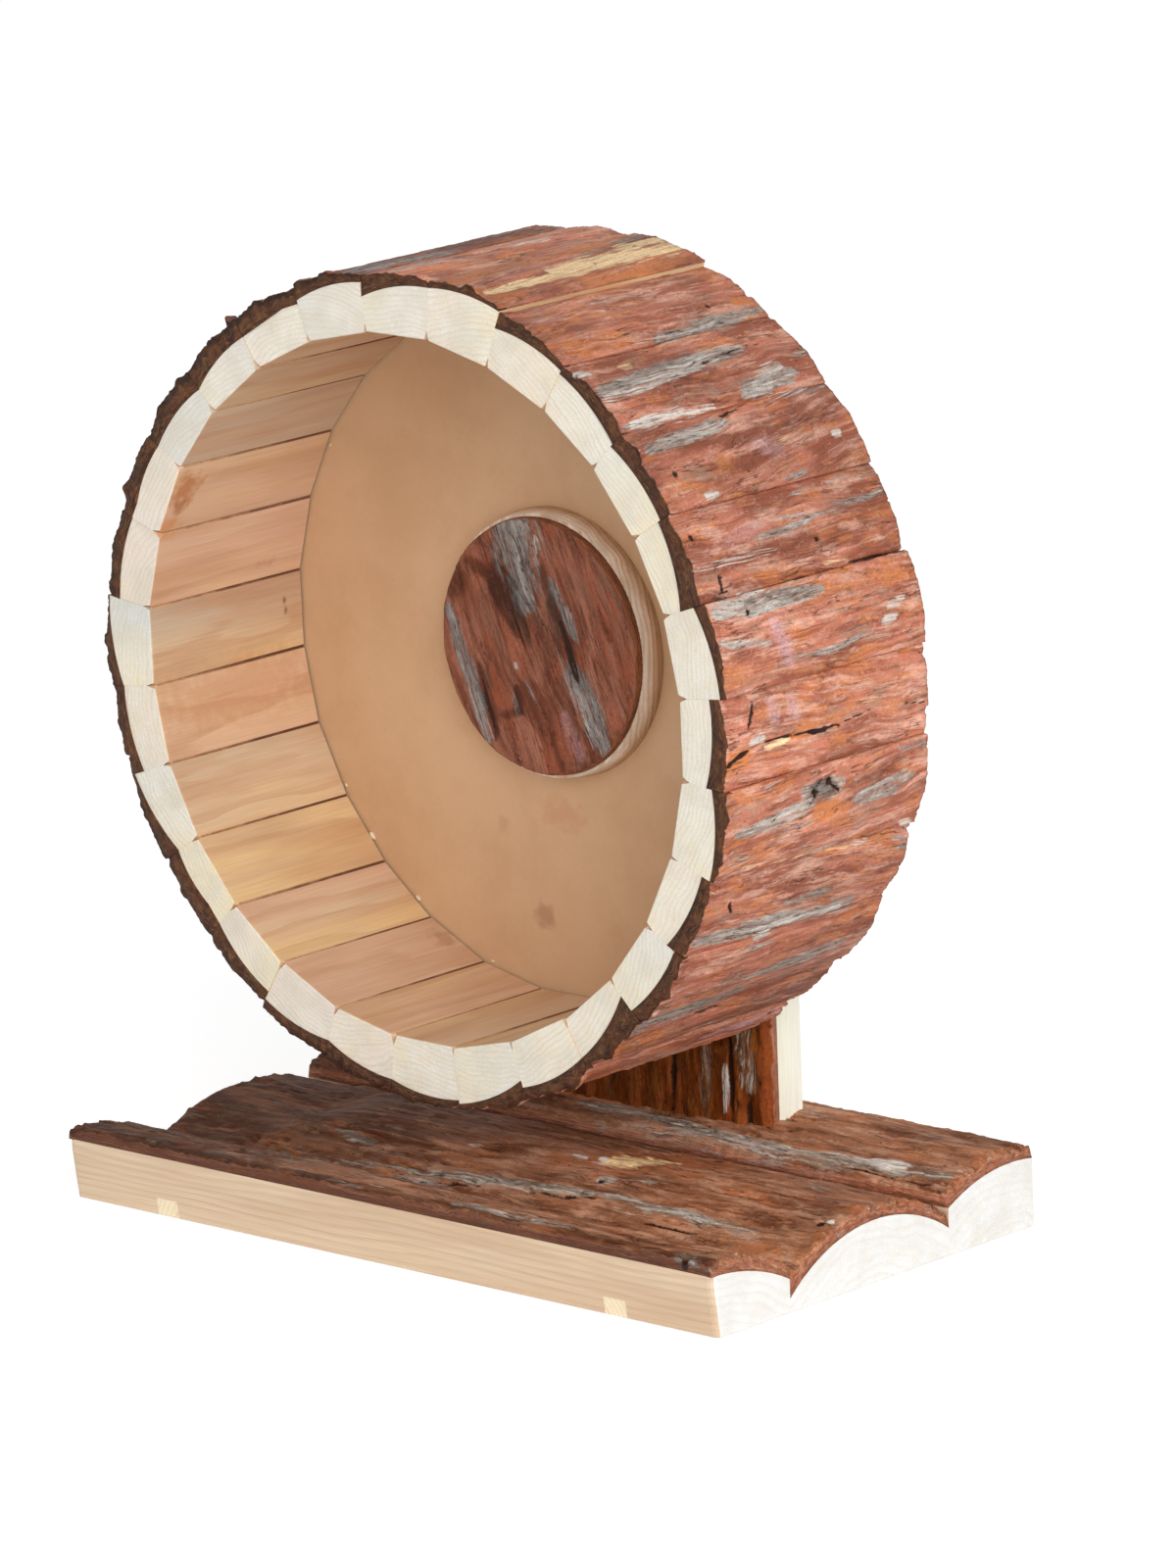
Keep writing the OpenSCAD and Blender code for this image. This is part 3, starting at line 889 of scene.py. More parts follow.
@dataclass(frozen=True)
class BarkFinish(Finish):
    """Bark, from its fresh inner red to its weathered grey."""

    deep: Rgb
    middle: Rgb
    light: Rgb
    dull: Rgb
    grey: Rgb = (140, 126, 114)
    pale: Rgb = (214, 206, 196)
    crack: Rgb = (52, 30, 20)
    bare: Rgb = (232, 194, 128)
    lilac: Rgb = (206, 172, 182)
    orange: Rgb = (200, 116, 66)
    relief: float = 0.35
    sheen: float = 0.22

    def feeds(self, g: Graph) -> Feeds:
        """Works out the shader's inputs.

        Args:
            g: The material's graph.

        Returns:
            The inputs by name.
        """
        looks = {n.capitalize(): g.attribute(n) for n in ("grain", *BARK_ATTRIBUTES)}
        looks.update({label: srgb(getattr(self, label.lower())) for label in BARK_COLOURS})
        bark = grouped(g, GroupKind.BARK, looks)
        return {
            "Base Color": bark["Color"],
            "Roughness": bark["Roughness"],
            "Specular IOR Level": self.sheen,
            "Normal": g.bump(bark["Height"], self.relief, 0.8),
        }


@dataclass(frozen=True)
class MetalFinish(Finish):
    """Plated steel or plain plastic on the small hardware."""

    clean: Rgb
    dull: Rgb
    metallic: float = 1.0

    def feeds(self, g: Graph) -> Feeds:
        """Works out the shader's inputs.

        Args:
            g: The material's graph.

        Returns:
            The inputs by name.
        """
        looks = {"Place": g.place(), "Clean": srgb(self.clean), "Dull": srgb(self.dull)}
        grit = grouped(g, GroupKind.GRIT, looks)
        return {
            "Base Color": grit["Color"],
            "Roughness": grit["Roughness"],
            "Metallic": self.metallic,
            "Normal": g.bump(grit["Height"], 0.012, 0.4),
        }


@dataclass(frozen=True)
class HardboardFinish(Finish):
    """Smooth tan hardboard with a fine flecked skin."""

    ground: Rgb = (206, 167, 129)
    cloud: Rgb = (198, 157, 118)
    fleck: Rgb = (164, 122, 88)
    clouds: Noise = Noise((0.022, 0.022, 0.022), 5.0, 0.7)
    flecks: Noise = Noise((1.4, 1.4, 1.4), 5.0, 0.7)
    hairs: Noise = Noise((0.5, 1.0, 2.6), 4.0, 0.6)
    stains: Tuple[Stain, ...] = (
        Stain((-9.9, PANEL_Y, 81.6), (3.6, 9.0, 4.2), (168, 126, 92), 0.75),
        Stain((-2.0, PANEL_Y, 112.0), (9.0, 9.0, 5.0), (196, 142, 106), 0.6),
        Stain((-24.4, PANEL_Y, 106.0), (2.6, 9.0, 3.0), (190, 148, 112), 0.6),
    )

    def feeds(self, g: Graph) -> Feeds:
        """Works out the shader's inputs.

        Args:
            g: The material's graph.

        Returns:
            The inputs by name.
        """
        place = g.place()
        cloud, fleck, hair = (g.noise(place, n) for n in (self.clouds, self.flecks, self.hairs))
        dark = srgb(self.fleck)
        colour = g.mix(g.band(cloud, 0.35, 0.65), srgb(self.ground), srgb(self.cloud))
        colour = g.mix(g.band(fleck, 0.60, 0.74, 0.0, 0.45), colour, dark)
        colour = g.mix(g.band(hair, 0.62, 0.75, 0.0, 0.25), colour, dark)
        return {
            "Base Color": stained(g, colour, self.stains),
            "Roughness": g.band(fleck, 0.3, 0.7, 0.50, 0.64),
            "Normal": g.bump(fleck, 0.06, 0.35),
        }


@dataclass(frozen=True)
class BlockFinish(Finish):
    """Sawn pine on a CAD piece: rings round a pith that stands at a place of its own."""

    early: Rgb
    late: Rgb
    pith: Triple
    turn: Triple = NO_TURN
    ring_width: float = 2.2
    contrast: float = 0.6

    def feeds(self, g: Graph) -> Feeds:
        """Works out the shader's inputs.

        Args:
            g: The material's graph.

        Returns:
            The inputs by name.
        """
        turn = tuple(math.radians(t) for t in self.turn)
        put = {"Vector": g.place(), "Location": self.pith, "Rotation": turn}
        looks = {"Log": g.add("Mapping", put).outputs[0]}
        looks.update({"Ground": srgb(self.early), "Late": srgb(self.late)})
        looks.update({"Ring Width": self.ring_width, "Contrast": self.contrast})
        rings = grouped(g, GroupKind.RINGS, looks)
        return {
            "Base Color": rings["Color"],
            "Roughness": 0.62,
            "Normal": g.bump(rings["Height"], 0.1, 0.5),
        }


# How pink, grey and golden wood looks on each kind of sawn face.
SIDE_TINTS = ((216, 172, 146), (192, 172, 150), (226, 192, 140))
END_TINTS = ((236, 218, 204), (216, 216, 210), (240, 226, 192))
BASE_TINTS = ((224, 194, 172), (206, 192, 172), (232, 206, 160))
BASE_END_TINTS = ((240, 234, 228), (236, 236, 235), (243, 240, 229))
POST_TINTS = ((252, 242, 228), (248, 244, 232), (255, 250, 214))

SLAT_STAINS = (
    Stain((-88.0, -42.0, 205.0), (3.6, 6.4, 7.6), (182, 118, 72), 0.85),
    Stain((-90.5, -42.5, 199.5), (2.5, 3.0, 3.0), (160, 96, 56), 0.7),
    Stain((-93.5, -45.5, 194.5), (3.0, 6.0, 4.4), (206, 142, 92), 0.8),
    Stain((-97.8, 6.9, 163.4), (3.0, 0.9, 1.3), (120, 78, 52), 0.9),
    Stain((-97.8, 7.2, 160.2), (3.0, 0.8, 1.5), (124, 82, 56), 0.9),
    Stain((-96.0, -2.0, 175.5), (3.0, 6.0, 1.6), (176, 112, 76), 0.6),
    Stain((-45.0, 10.0, 71.0), (6.0, 4.0, 3.0), (168, 118, 84), 0.5),
    Stain((-98.0, -14.0, 142.0), (8.0, 40.0, 9.5), (196, 136, 96), 0.45),
)

ALL_FINISHES = (
    WoodFinish(
        "slat_side", (214, 186, 152), (186, 134, 96), SIDE_TINTS,
        ring_width=2.6, contrast=0.42, stains=SLAT_STAINS,
    ),
    WoodFinish(
        "slat_end", (237, 231, 217), (212, 202, 184), END_TINTS,
        ring_width=1.5, contrast=0.6, roughness=0.7, relief=0.2,
    ),
    JointShadeFinish("slat_joint_shade", (200, 156, 118), (116, 76, 52)),
    WoodFinish(
        "base_side", (226, 201, 171), (204, 170, 136), BASE_TINTS, ring_width=2.4, contrast=0.6,
    ),
    WoodFinish(
        "base_end", (243, 243, 241), (226, 221, 212), BASE_END_TINTS,
        ring_width=2.6, contrast=0.4, roughness=0.7, relief=0.2,
    ),
    WoodFinish(
        "post_side", (255, 255, 240), (255, 249, 222), POST_TINTS, ring_width=2.4, contrast=0.35,
    ),
    WoodFinish(
        "cover_side", (255, 240, 220), (204, 160, 124), BASE_TINTS, ring_width=1.3, contrast=1.0,
    ),
    BarkFinish(
        "drum_bark", (150, 84, 61), (196, 122, 97), (227, 173, 151), (170, 131, 110),
        grey=(158, 146, 136), bare=(255, 220, 170), orange=(203, 124, 76),
    ),
    BarkFinish(
        "drum_bark_end", (52, 26, 16), (84, 48, 28), (124, 86, 52), (80, 58, 34),
        orange=(104, 56, 28), relief=0.5,
    ),
    BarkFinish(
        "base_bark", (108, 63, 40), (157, 105, 75), (194, 147, 117), (130, 94, 70),
        grey=(142, 128, 112), crack=(60, 32, 18), bare=(238, 206, 154), orange=(172, 106, 68),
        sheen=0.08,
    ),
    BarkFinish(
        "base_bark_end", (142, 82, 56), (178, 110, 80), (214, 160, 130), (158, 110, 82),
        orange=(182, 106, 68), relief=0.6,
    ),
    BarkFinish(
        "post_bark", (98, 44, 10), (132, 65, 20), (158, 93, 38), (106, 61, 22),
        grey=(114, 84, 54), orange=(150, 76, 38), sheen=0.06,
    ),
    BarkFinish(
        "cover_bark", (98, 52, 36), (130, 77, 57), (152, 100, 80), (118, 86, 70),
        grey=(116, 110, 106), pale=(164, 156, 150), orange=(144, 77, 52), relief=0.22, sheen=0.14,
    ),
    BarkFinish(
        "cover_bark_end", (110, 66, 44), (136, 86, 60), (156, 108, 80), (120, 84, 62), relief=0.4,
    ),
    HardboardFinish("hardboard"),
    BlockFinish(
        "batten_wood", (250, 234, 202), (226, 194, 148), (0.0, 0.0, 30.0), ring_width=1.7,
    ),
    BlockFinish(
        "block_wood", (232, 204, 166), (204, 160, 116), (70.0, -150.0, 30.0), (90.0, 0.0, 0.0),
    ),
    MetalFinish("zinc_steel", (196, 198, 200), (170, 172, 174)),
    MetalFinish("bearing_steel", (206, 208, 210), (172, 174, 178)),
    MetalFinish("shield_steel", (176, 178, 180), (140, 142, 146)),
    MetalFinish("nylon_ring", (222, 222, 212), (200, 200, 190), metallic=0.0),
    MetalFinish("dried_glue", (226, 210, 180), (206, 184, 150), metallic=0.0),
)  # fmt: skip


FINISHES = {finish.name: finish for finish in ALL_FINISHES}


# Meshes


def corners_of(made: Iterable[object]) -> List[BMVert]:
    """Lists the corners among what an operator made."""
    return [item for item in made if isinstance(item, BMVert)]


def faces_of(made: Iterable[object]) -> List[BMFace]:
    """Lists the faces among what an operator made."""
    return [item for item in made if isinstance(item, BMFace)]


def new_piece(
    name: str,
    bm: BMesh,
    finishes: Sequence[str],
    body: str,
    stands_for: Sequence[str] = (),
) -> None:
    """Turns a mesh in millimetres into a finished piece on its body.

    Args:
        name: The piece's name.
        bm: Its mesh, which is used up.
        finishes: Finishes for its material numbers.
        body: The CAD body that it rides on.
        stands_for: CAD nodes that it replaces.
    """
    bmesh.ops.scale(bm, vec=(MM, MM, MM), verts=bm.verts)
    mesh = bpy.data.meshes.new(name)
    bm.to_mesh(mesh)
    bm.free()
    if "custom_normal" in mesh.attributes:
        mesh.attributes.remove(mesh.attributes["custom_normal"])
    for finish in finishes:
        mesh.materials.append(FINISHES[finish].material)
    piece = bpy.data.objects.new(name, mesh)
    bpy.context.scene.collection.objects.link(piece)
    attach(piece, body)
    if stands_for:
        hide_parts(*stands_for)
    LOG.info("%s: %d faces on %s", name, len(mesh.polygons), body)


def dress(nodes: Iterable[str], finish: str) -> None:
    """Gives CAD nodes that stay as they are a better material.

    Args:
        nodes: The nodes.
        finish: Their finish.
    """
    for name in nodes:
        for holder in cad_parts[name].material_slots:
            holder.material = FINISHES[finish].material
        LOG.info("%s: kept, in %s", name, finish)


def write_log(
    bm: BMesh,
    log_place: Callable[[Vector], Vector],
    tint: Callable[[Vector], Sequence[float]],
) -> None:
    """Writes where each point lies in the log that the piece was cut from.

    Args:
        bm: The mesh, in millimetres.
        log_place: Turns a point into the log's place, with the grain along Y, the pith at X, Z 0.
        tint: Gives how pink, grey and golden the wood is at a point, each 0 to 1.
    """
    grain = bm.verts.layers.float_vector.new("grain")
    tinted = bm.verts.layers.float_vector.new("tint")
    for vert in bm.verts:
        vert[grain] = log_place(vert.co)
        vert[tinted] = Vector(tint(vert.co))


@dataclass
class BarkSheet:
    """A sheet of bark that is made flat, given its relief and laid on its wood.

    The flat sheet has u across the grain and v along it. seat puts a point on the finished
    surface with a lift, and under puts it on the wood below. chip and crumbly are how far the
    bark is chipped and how much it is crumbled at its near and its far end.
    """

    name: str
    us: Pair
    vs: Pair
    field: BarkField
    seat: Callable[[float, float, float], Vector]
    under: Callable[[float, float], Vector]
    finishes: Tuple[str, str]
    cell: float = 0.6
    chip: Pair = (0.0, 0.0)
    chip_sides: float = 0.0
    chip_reach: float = 1.5
    side_finish: int = 1
    front_band: float = 3.0
    edge_drop: float = 0.0
    drop_reach: float = 2.0
    dark_rim: float = 1.2
    torn: float = 0.0
    torn_reach: float = 7.0
    side_tone: float = 0.0
    crumbly: Pair = (0.0, 0.0)
    crumb_reach: Pair = (1.0, 8.0)
    marked_sides: bool = False

    def _blank(self) -> BMesh:
        """Makes the flat sheet.

        Returns:
            The mesh.
        """
        bm = bmesh.new()
        wide, long = (high - low for low, high in (self.us, self.vs))
        counts = [max(2, round(side / self.cell)) for side in (wide, long)]
        bmesh.ops.create_grid(bm, x_segments=counts[0], y_segments=counts[1], size=0.5)
        bmesh.ops.scale(bm, vec=(wide, long, 1), verts=bm.verts)
        bmesh.ops.translate(bm, vec=(sum(self.us) / 2, sum(self.vs) / 2, 0), verts=bm.verts)
        return bm

    def _skirted(self, bm: BMesh) -> None:
        """Closes a flat sheet with two rows of wall and a floor.

        The height of a point then says its layer: 0 top, -1 middle, -2 bottom.

        Args:
            bm: The sheet.
        """
        for face in bm.faces:
            face.smooth = True
        for _ in range(2):
            rim = [edge for edge in bm.edges if edge.is_boundary]
            made = bmesh.ops.extrude_edge_only(bm, edges=rim)["geom"]
            bmesh.ops.translate(bm, vec=(0, 0, -1), verts=corners_of(made))
            for face in faces_of(made):
                u, v, _ = face.calc_center_median()
                aside = min(u - self.us[0], self.us[1] - u) < self.cell / 9
                inner = aside and v > self.vs[0] + self.front_band
                face.material_index = self.side_finish if inner else 1
        rim = [edge for edge in bm.edges if edge.is_boundary]
        for face in bmesh.ops.edgeloop_fill(bm, edges=rim)["faces"]:
            face.material_index = 1

    def _inset(self, u: float, v: float) -> Pair:
        """Draws a point at the sheet's edge inwards, as chipped bark.

        Args:
            u, v: The point.

        Returns:
            Where it goes.
        """
        ragged = self.field.wave(Layer.CHIPS, u * 0.16, v * 0.16)
        ragged += 0.5 * self.field.wave(Layer.CHIPS, u * 0.7, v * 0.7)
        side = self.chip_sides * ease(0.1, 0.8, ragged) + 0.02
        ends = [chip * ease(-0.7, 0.7, ragged) for chip in self.chip]
        moved = []
        for value, limits, reaches in ((u, self.us, (side, side)), (v, self.vs, ends)):
            for end, sign, reach in zip(limits, (1, -1), reaches):
                away = (value - end) * sign
                if away < self.chip_reach:
                    value += sign * reach * (1 - away / self.chip_reach)
            moved.append(value)
        return moved[0], moved[1]

    def _drop(self, u: float, v: float, edge: float, rough: float) -> float:
        """Works out how far the bark is worn down or torn off near its edge.

        Args:
            u, v: The point.
            edge: Its distance from the nearest edge.
            rough: The roughness there.

        Returns:
            The drop, less than 0 where torn bark stands up.
        """
        drop = self.edge_drop * (1 - ease(0.0, self.drop_reach, edge)) * (1 + 1.6 * rough)
        tear = max(0.0, self.field.wave(Layer.TEARS, u * 0.17, 0.0) + 0.25 * rough)
        return drop - self.torn * tear * (1 - ease(0.0, self.torn_reach, v - self.vs[0]))

    def _crumble(self, point: BarkPoint, u: float, v: float) -> None:
        """Crumbles the bark at the sheet's ends.

        Args:
            point: The bark there, which is changed.
            u, v: The point.
        """
        aways = (v - self.vs[0], self.vs[1] - v)
        crumb = max(s * (1 - ease(*self.crumb_reach, a)) for s, a in zip(self.crumbly, aways))
        if not crumb:
            return
        fine = self.field.wave(Layer.CRUMBS, u * 0.8, v * 0.9)
        fine += 0.5 * self.field.wave(Layer.FINE_CRUMBS, u * 1.7, v * 1.9)
        point.lift += 0.7 * crumb * fine
        # Painted shade in the low crumbs.
        point.hollow_shade = max(point.hollow_shade, 0.9 * crumb * ease(0.15, 0.5, -fine))
        point.pale = max(point.pale, 0.8 * crumb * ease(0.4, 0.7, fine))

    def _shown(
        self, point: BarkPoint, level: float, side: float, end: float, rough: float
    ) -> BarkPoint:
        """Works out how a layer of the sheet shows the bark: its top loses grey and lilac at the
        very ends and takes painted shade there.

        Args:
            point: The bark there.
            level: The layer.
            side, end: Distances from the nearer side and from the nearer end.
            rough: The roughness there.

        Returns:
            The bark as it shows.
        """
        if level < -0.5:
            wall = BarkPoint(tone=0.6 * rough + self.side_tone * (side < end))
            if self.marked_sides and level > -1.5:
                wall.grey, wall.crack, wall.pale = point.grey, point.crack, 0.5 * point.pale
            return wall
        if self.dark_rim:
            dark = 1 - ease(0.2, 1.0, end / self.dark_rim + 0.5 * rough)
            point.grey *= 1 - dark
            point.lilac *= 1 - dark
            point.hollow_shade = max(point.hollow_shade, 0.8 * dark)
        return point

    def build(self, body: str, slot: str, node: str) -> None:
        """Makes the piece.

        Args:
            body: The CAD body that it rides on.
            slot: Not used.
            node: The CAD node that it replaces.
        """
        bm = self._blank()
        self._skirted(bm)
        new_layer = bm.verts.layers.float_vector.new
        layers = {label: new_layer(label) for label in ("grain", *BARK_ATTRIBUTES)}
        for vert in bm.verts:
            u, v, level = vert.co
            point = self.field.at(u, v)
            across, along = self.field.grain_place(u, v)
            rough = self.field.wave(Layer.EDGE, u * 0.5, v * 0.5)
            side, end = (min(p - low, high - p) for p, (low, high) in ((u, self.us), (v, self.vs)))
            self._crumble(point, u, v)
            drop = self._drop(u, v, min(side, end), rough)
            base, top = self.under(u, v), self.seat(*self._inset(u, v), point.lift - drop)
            if level > -0.5:
                vert.co = top
            else:
                vert.co = base.lerp(top, 0.5 + 0.3 * rough) if level > -1.5 else base
            shown = self._shown(point, level, side, end, rough)
            for label, names in BARK_ATTRIBUTES.items():
                vert[layers[label]] = Vector([getattr(shown, name) for name in names])
            vert[layers["grain"]] = Vector((across, along, self.field.seed * 3.7 + level * 1.3))
        bmesh.ops.recalc_face_normals(bm, faces=bm.faces)
        new_piece(self.name, bm, self.finishes, body, (node,))


# Drum

# How much thicker than usual each slat's wood is at its first and second edge.
SLAT_EXTRA = (
    (0, 2), (-2, 3), (3, 5), (0, 2), (1, -1), (-2, 0), (-1, -5),
    (0, 3), (-1, -3), (-1, 3), (0, -3), (0, -1), (-6, 0), (0, 1),
    (-1, 4), (3, 1), (1, -1), (-1, 2), (-1, -3), (-3, -3), (-3, 3),
    (-1, 0), (0, 4), (0, -1), (-1, -2), (-2, -4), (-4, -2), (-2, -1),
)  # fmt: skip

# How pink, grey and golden the wood is at a slat's first and second edge, where it shows inside.
SLAT_TINTS = {
    26: ((0.5, 0.5, 0.0), (0.4, 0.6, 0.0)),
    25: ((0.7, 0.0, 0.2), (0.6, 0.0, 0.3)),
    24: ((0.8, 0.0, 0.3), (0.7, 0.1, 0.1)),
    23: ((0.0, 0.0, 0.6), (0.0, 1.0, 0.0)),
    22: ((0.7, 0.0, 0.3), (0.5, 0.2, 0.3)),
    21: ((0.3, 0.1, 0.5), (0.2, 0.5, 0.1)),
    20: ((0.1, 0.0, 0.8), (0.1, 0.1, 0.6)),
    19: ((0.2, 0.0, 0.8), (0.7, 0.2, 0.0)),
    18: ((0.6, 0.2, 0.0), (0.6, 0.1, 0.1)),
    17: ((0.8, 0.0, 0.3), (0.6, 0.0, 0.4)),
}

# How light and how rusty the bark is on the slats that the photo shows.
# On slats 26 to 28, at the drum's top left, the low tone is painted shade.
SLAT_BARK = {
    26: (-0.8, 0.1), 27: (-1.0, 0.1), 28: (-1.2, 0.0), 1: (-0.3, 0.0), 2: (0.1, 0.45),
    3: (-0.4, 1.0), 4: (-0.2, 0.5), 5: (-0.3, 0.1), 6: (-0.4, 0.0), 7: (-0.25, 0.15),
    8: (0.2, 0.55), 9: (0.45, 0.35), 10: (0.25, 0.1), 11: (0.0, 0.1), 12: (-0.15, 0.1),
    13: (-0.3, 0.3),
}  # fmt: skip

DRUM_MARKS = marks_of({
    K.GREY: (
        (57.9, 38, 58.7, 82, 2.4), (51.2, 0, 52.8, 62, 3.4, 0.9), (46.0, 52, 47.4, 74, 3.6, 0.9),
        (25.3, 22, 27.7, 83, 1.5, 0.8), (17.8, 0, 16.8, 45, 2.9), (13.6, 0, 11.8, 21, 1.5, 0.9),
        (-9.7, 32, -9.9, 48, 3.4, 0.8), (-12.9, 5, -11.3, 36, 2.2, 0.9),
        (-12.9, 54, -11.5, 77, 2.6, 0.9), (-29.3, 0, -31.4, 70, 3.2),
        (-41.1, 36, -39.1, 74, 2.8, 0.9), (-46.7, -8, -44.4, 40, 4.8),
        (98.9, 0, 97.0, 40, 4.0, 0.9), (91.0, 4, 92.0, 30, 3.0, 0.8), (41.2, 4, 42.7, 39, 2.2, 0.9),
        (106.4, -10, 104.4, 60, 2.6, 0.8), (101.4, 40, 100.0, 70, 1.6, 0.7),
    ),
    K.CRACK: (
        (58.6, 42, 58.9, 54, 0.5, 0.7), (51.9, 44, 53.2, 66, 0.5, 0.7),
        (43.8, 39, 44.3, 48, 0.55, 0.8), (22.0, 10.6, 20.0, 10.8, 1.0),
        (19.9, 9.0, 19.9, 12.6, 0.9), (19.4, 60, 19.0, 84, 0.7), (1.2, 9.4, 4.4, 12.8, 0.9),
        (-1.0, 14, -1.8, 45, 0.6, 0.9), (-1.8, 45, -0.8, 60, 0.45, 0.7),
        (-1.4, 74, -2.2, 84, 0.45, 0.7), (-1.6, 34, -2.2, 42, 0.7), (-3.0, 1, -1.6, 9.5, 1.1),
        (-9.9, 36.5, -8.4, 40, 0.6), (-10.2, 38, -11.4, 35, 0.5), (-9.2, 42, -10.8, 47, 0.6),
        (-24.3, 11, -26.0, 13, 0.9), (-30.6, 4, -31.8, 38, 0.45, 0.8), (-48.7, 28, -48.7, 38, 1.0),
        (-47.0, 8, -47.0, 11, 0.9),
    ),
    K.ORANGE: (
        (61.2, 76, 61.2, 81, 2.4), (-3.0, 0, -2.0, 9, 2.6), (-12.9, 40, -13.2, 44, 3.4),
        (-52.0, 0, -52.0, 20, 5.0),
    ),
    K.PALE: (
        (49.9, 2, 52.4, 52, 2.2, 0.8), (46.6, 57, 48.7, 70, 3.0, 0.8),
        (44.5, 60, 44.3, 77, 1.1, 0.7), (45.5, 16, 45.3, 38, 1.8, 0.8), (36.8, 74, 36.8, 76, 1.3),
        (38.4, 47, 36.0, 47.6, 0.5, 0.7), (32.9, 17, 32.9, 21, 1.1), (23.7, 0, 23.6, 34, 1.4, 0.6),
        (19.1, 15, 18.4, 27, 0.9), (10.3, 66, 10.9, 72, 1.6, 0.9), (12.0, 69, 13.2, 77, 1.3, 0.9),
        (-0.5, 10.5, -0.5, 14.5, 1.7), (-20.7, 60, -20.4, 65, 1.0, 0.8),
        (-19.2, 78, -19.2, 81, 1.2), (-30.4, 26, -31.4, 64, 1.3, 0.9), (-32.3, 29, -32.3, 36, 1.5),
        (-31.7, 56, -31.7, 58, 1.2), (-46.4, 10, -45.0, 32, 1.0, 0.7),
        (89.6, 50, 89.0, 61, 2.0, 0.8), (55.2, 0, 55.0, 4, 1.5), (45.1, 5, 45.8, 26, 2.2, 0.9),
    ),
    K.LILAC: (
        (38.4, 44, 36.6, 52, 2.6, 0.45), (26.3, 17, 27.3, 32, 2.0, 0.4),
        (14.6, 23, 8.4, 28, 2.3, 0.75), (4.2, 19, 1.6, 21, 2.4, 0.6), (4.0, 27, 1.4, 29, 2.2, 0.6),
    ),
    K.BARE: (
        (37.4, 50, 38.1, 59, 0.7, 0.8), (20.2, 51, 19.7, 62, 0.8, 0.8), (-2.0, 16, -1.6, 27, 1.0),
        (-18.6, 12, -21.0, 64, 0.5, 0.8), (74.6, 4, 75.2, 54, 2.2), (76.4, 34, 75.4, 90, 4.2),
        (79.0, 66, 78.6, 84, 1.8, 0.8), (54.8, 17, 54.8, 22, 1.6, 0.8),
    ),
    K.HOLE: (
        (37.0, 9.7, 37.0, 9.7, 1.0), (28.1, 4.8, 28.1, 4.8, 1.2), (61.5, 66, 61.5, 66, 1.0),
        (23.5, 50.7, 23.5, 51.5, 0.8), (16.5, 14.9, 16.5, 14.9, 1.0), (-2.0, 47, -2.0, 47, 0.6),
        (-9.9, 36.5, -10.4, 37, 1.2), (-9.2, 42, -9.2, 43, 1.1),
    ),
    K.DARK: (
        (-9.7, 36, -9.9, 44, 3.0, 1.3), (-236.5, 0, -236.5, 6, 3.2),
        (103.0, -30, 103.0, 120, 11.0, 0.9),
    ),
    K.FLAP: ((-236.5, 0, -236.5, 5, 1.4),),
})  # fmt: skip

# Marks scattered over a slat that the photo doesn't show: their kind, number and half width.
LOOSE_MARKS = (
    (K.GREY, 2, 2.2), (K.PALE, 1, 1.5), (K.CRACK, 2, 0.8),
    (K.LILAC, 1, 2.2), (K.ORANGE, 1, 2.5), (K.HOLE, 1, 0.9),
)  # fmt: skip

# Angle and size of each bead of glue.
GLUE_BEADS = (
    (220.0, 0.75), (233.6, 0.6), (210.4, 0.35), (252.0, 0.3),
    (150.0, 0.35), (330.0, 0.4), (15.0, 0.4),
)  # fmt: skip


@dataclass
class Slat:
    """One slat, a pine wedge with its bark left on, between two angles round the axle."""

    number: int
    start: float
    end: float
    extra: Pair
    rng: random.Random

    @property
    def name(self) -> str:
        """The slat's CAD node."""
        return f"slat_{self.number:02d}"

    @property
    def middle(self) -> float:
        """Angle of the slat's middle, in degrees."""
        return (self.start + self.end) / 2


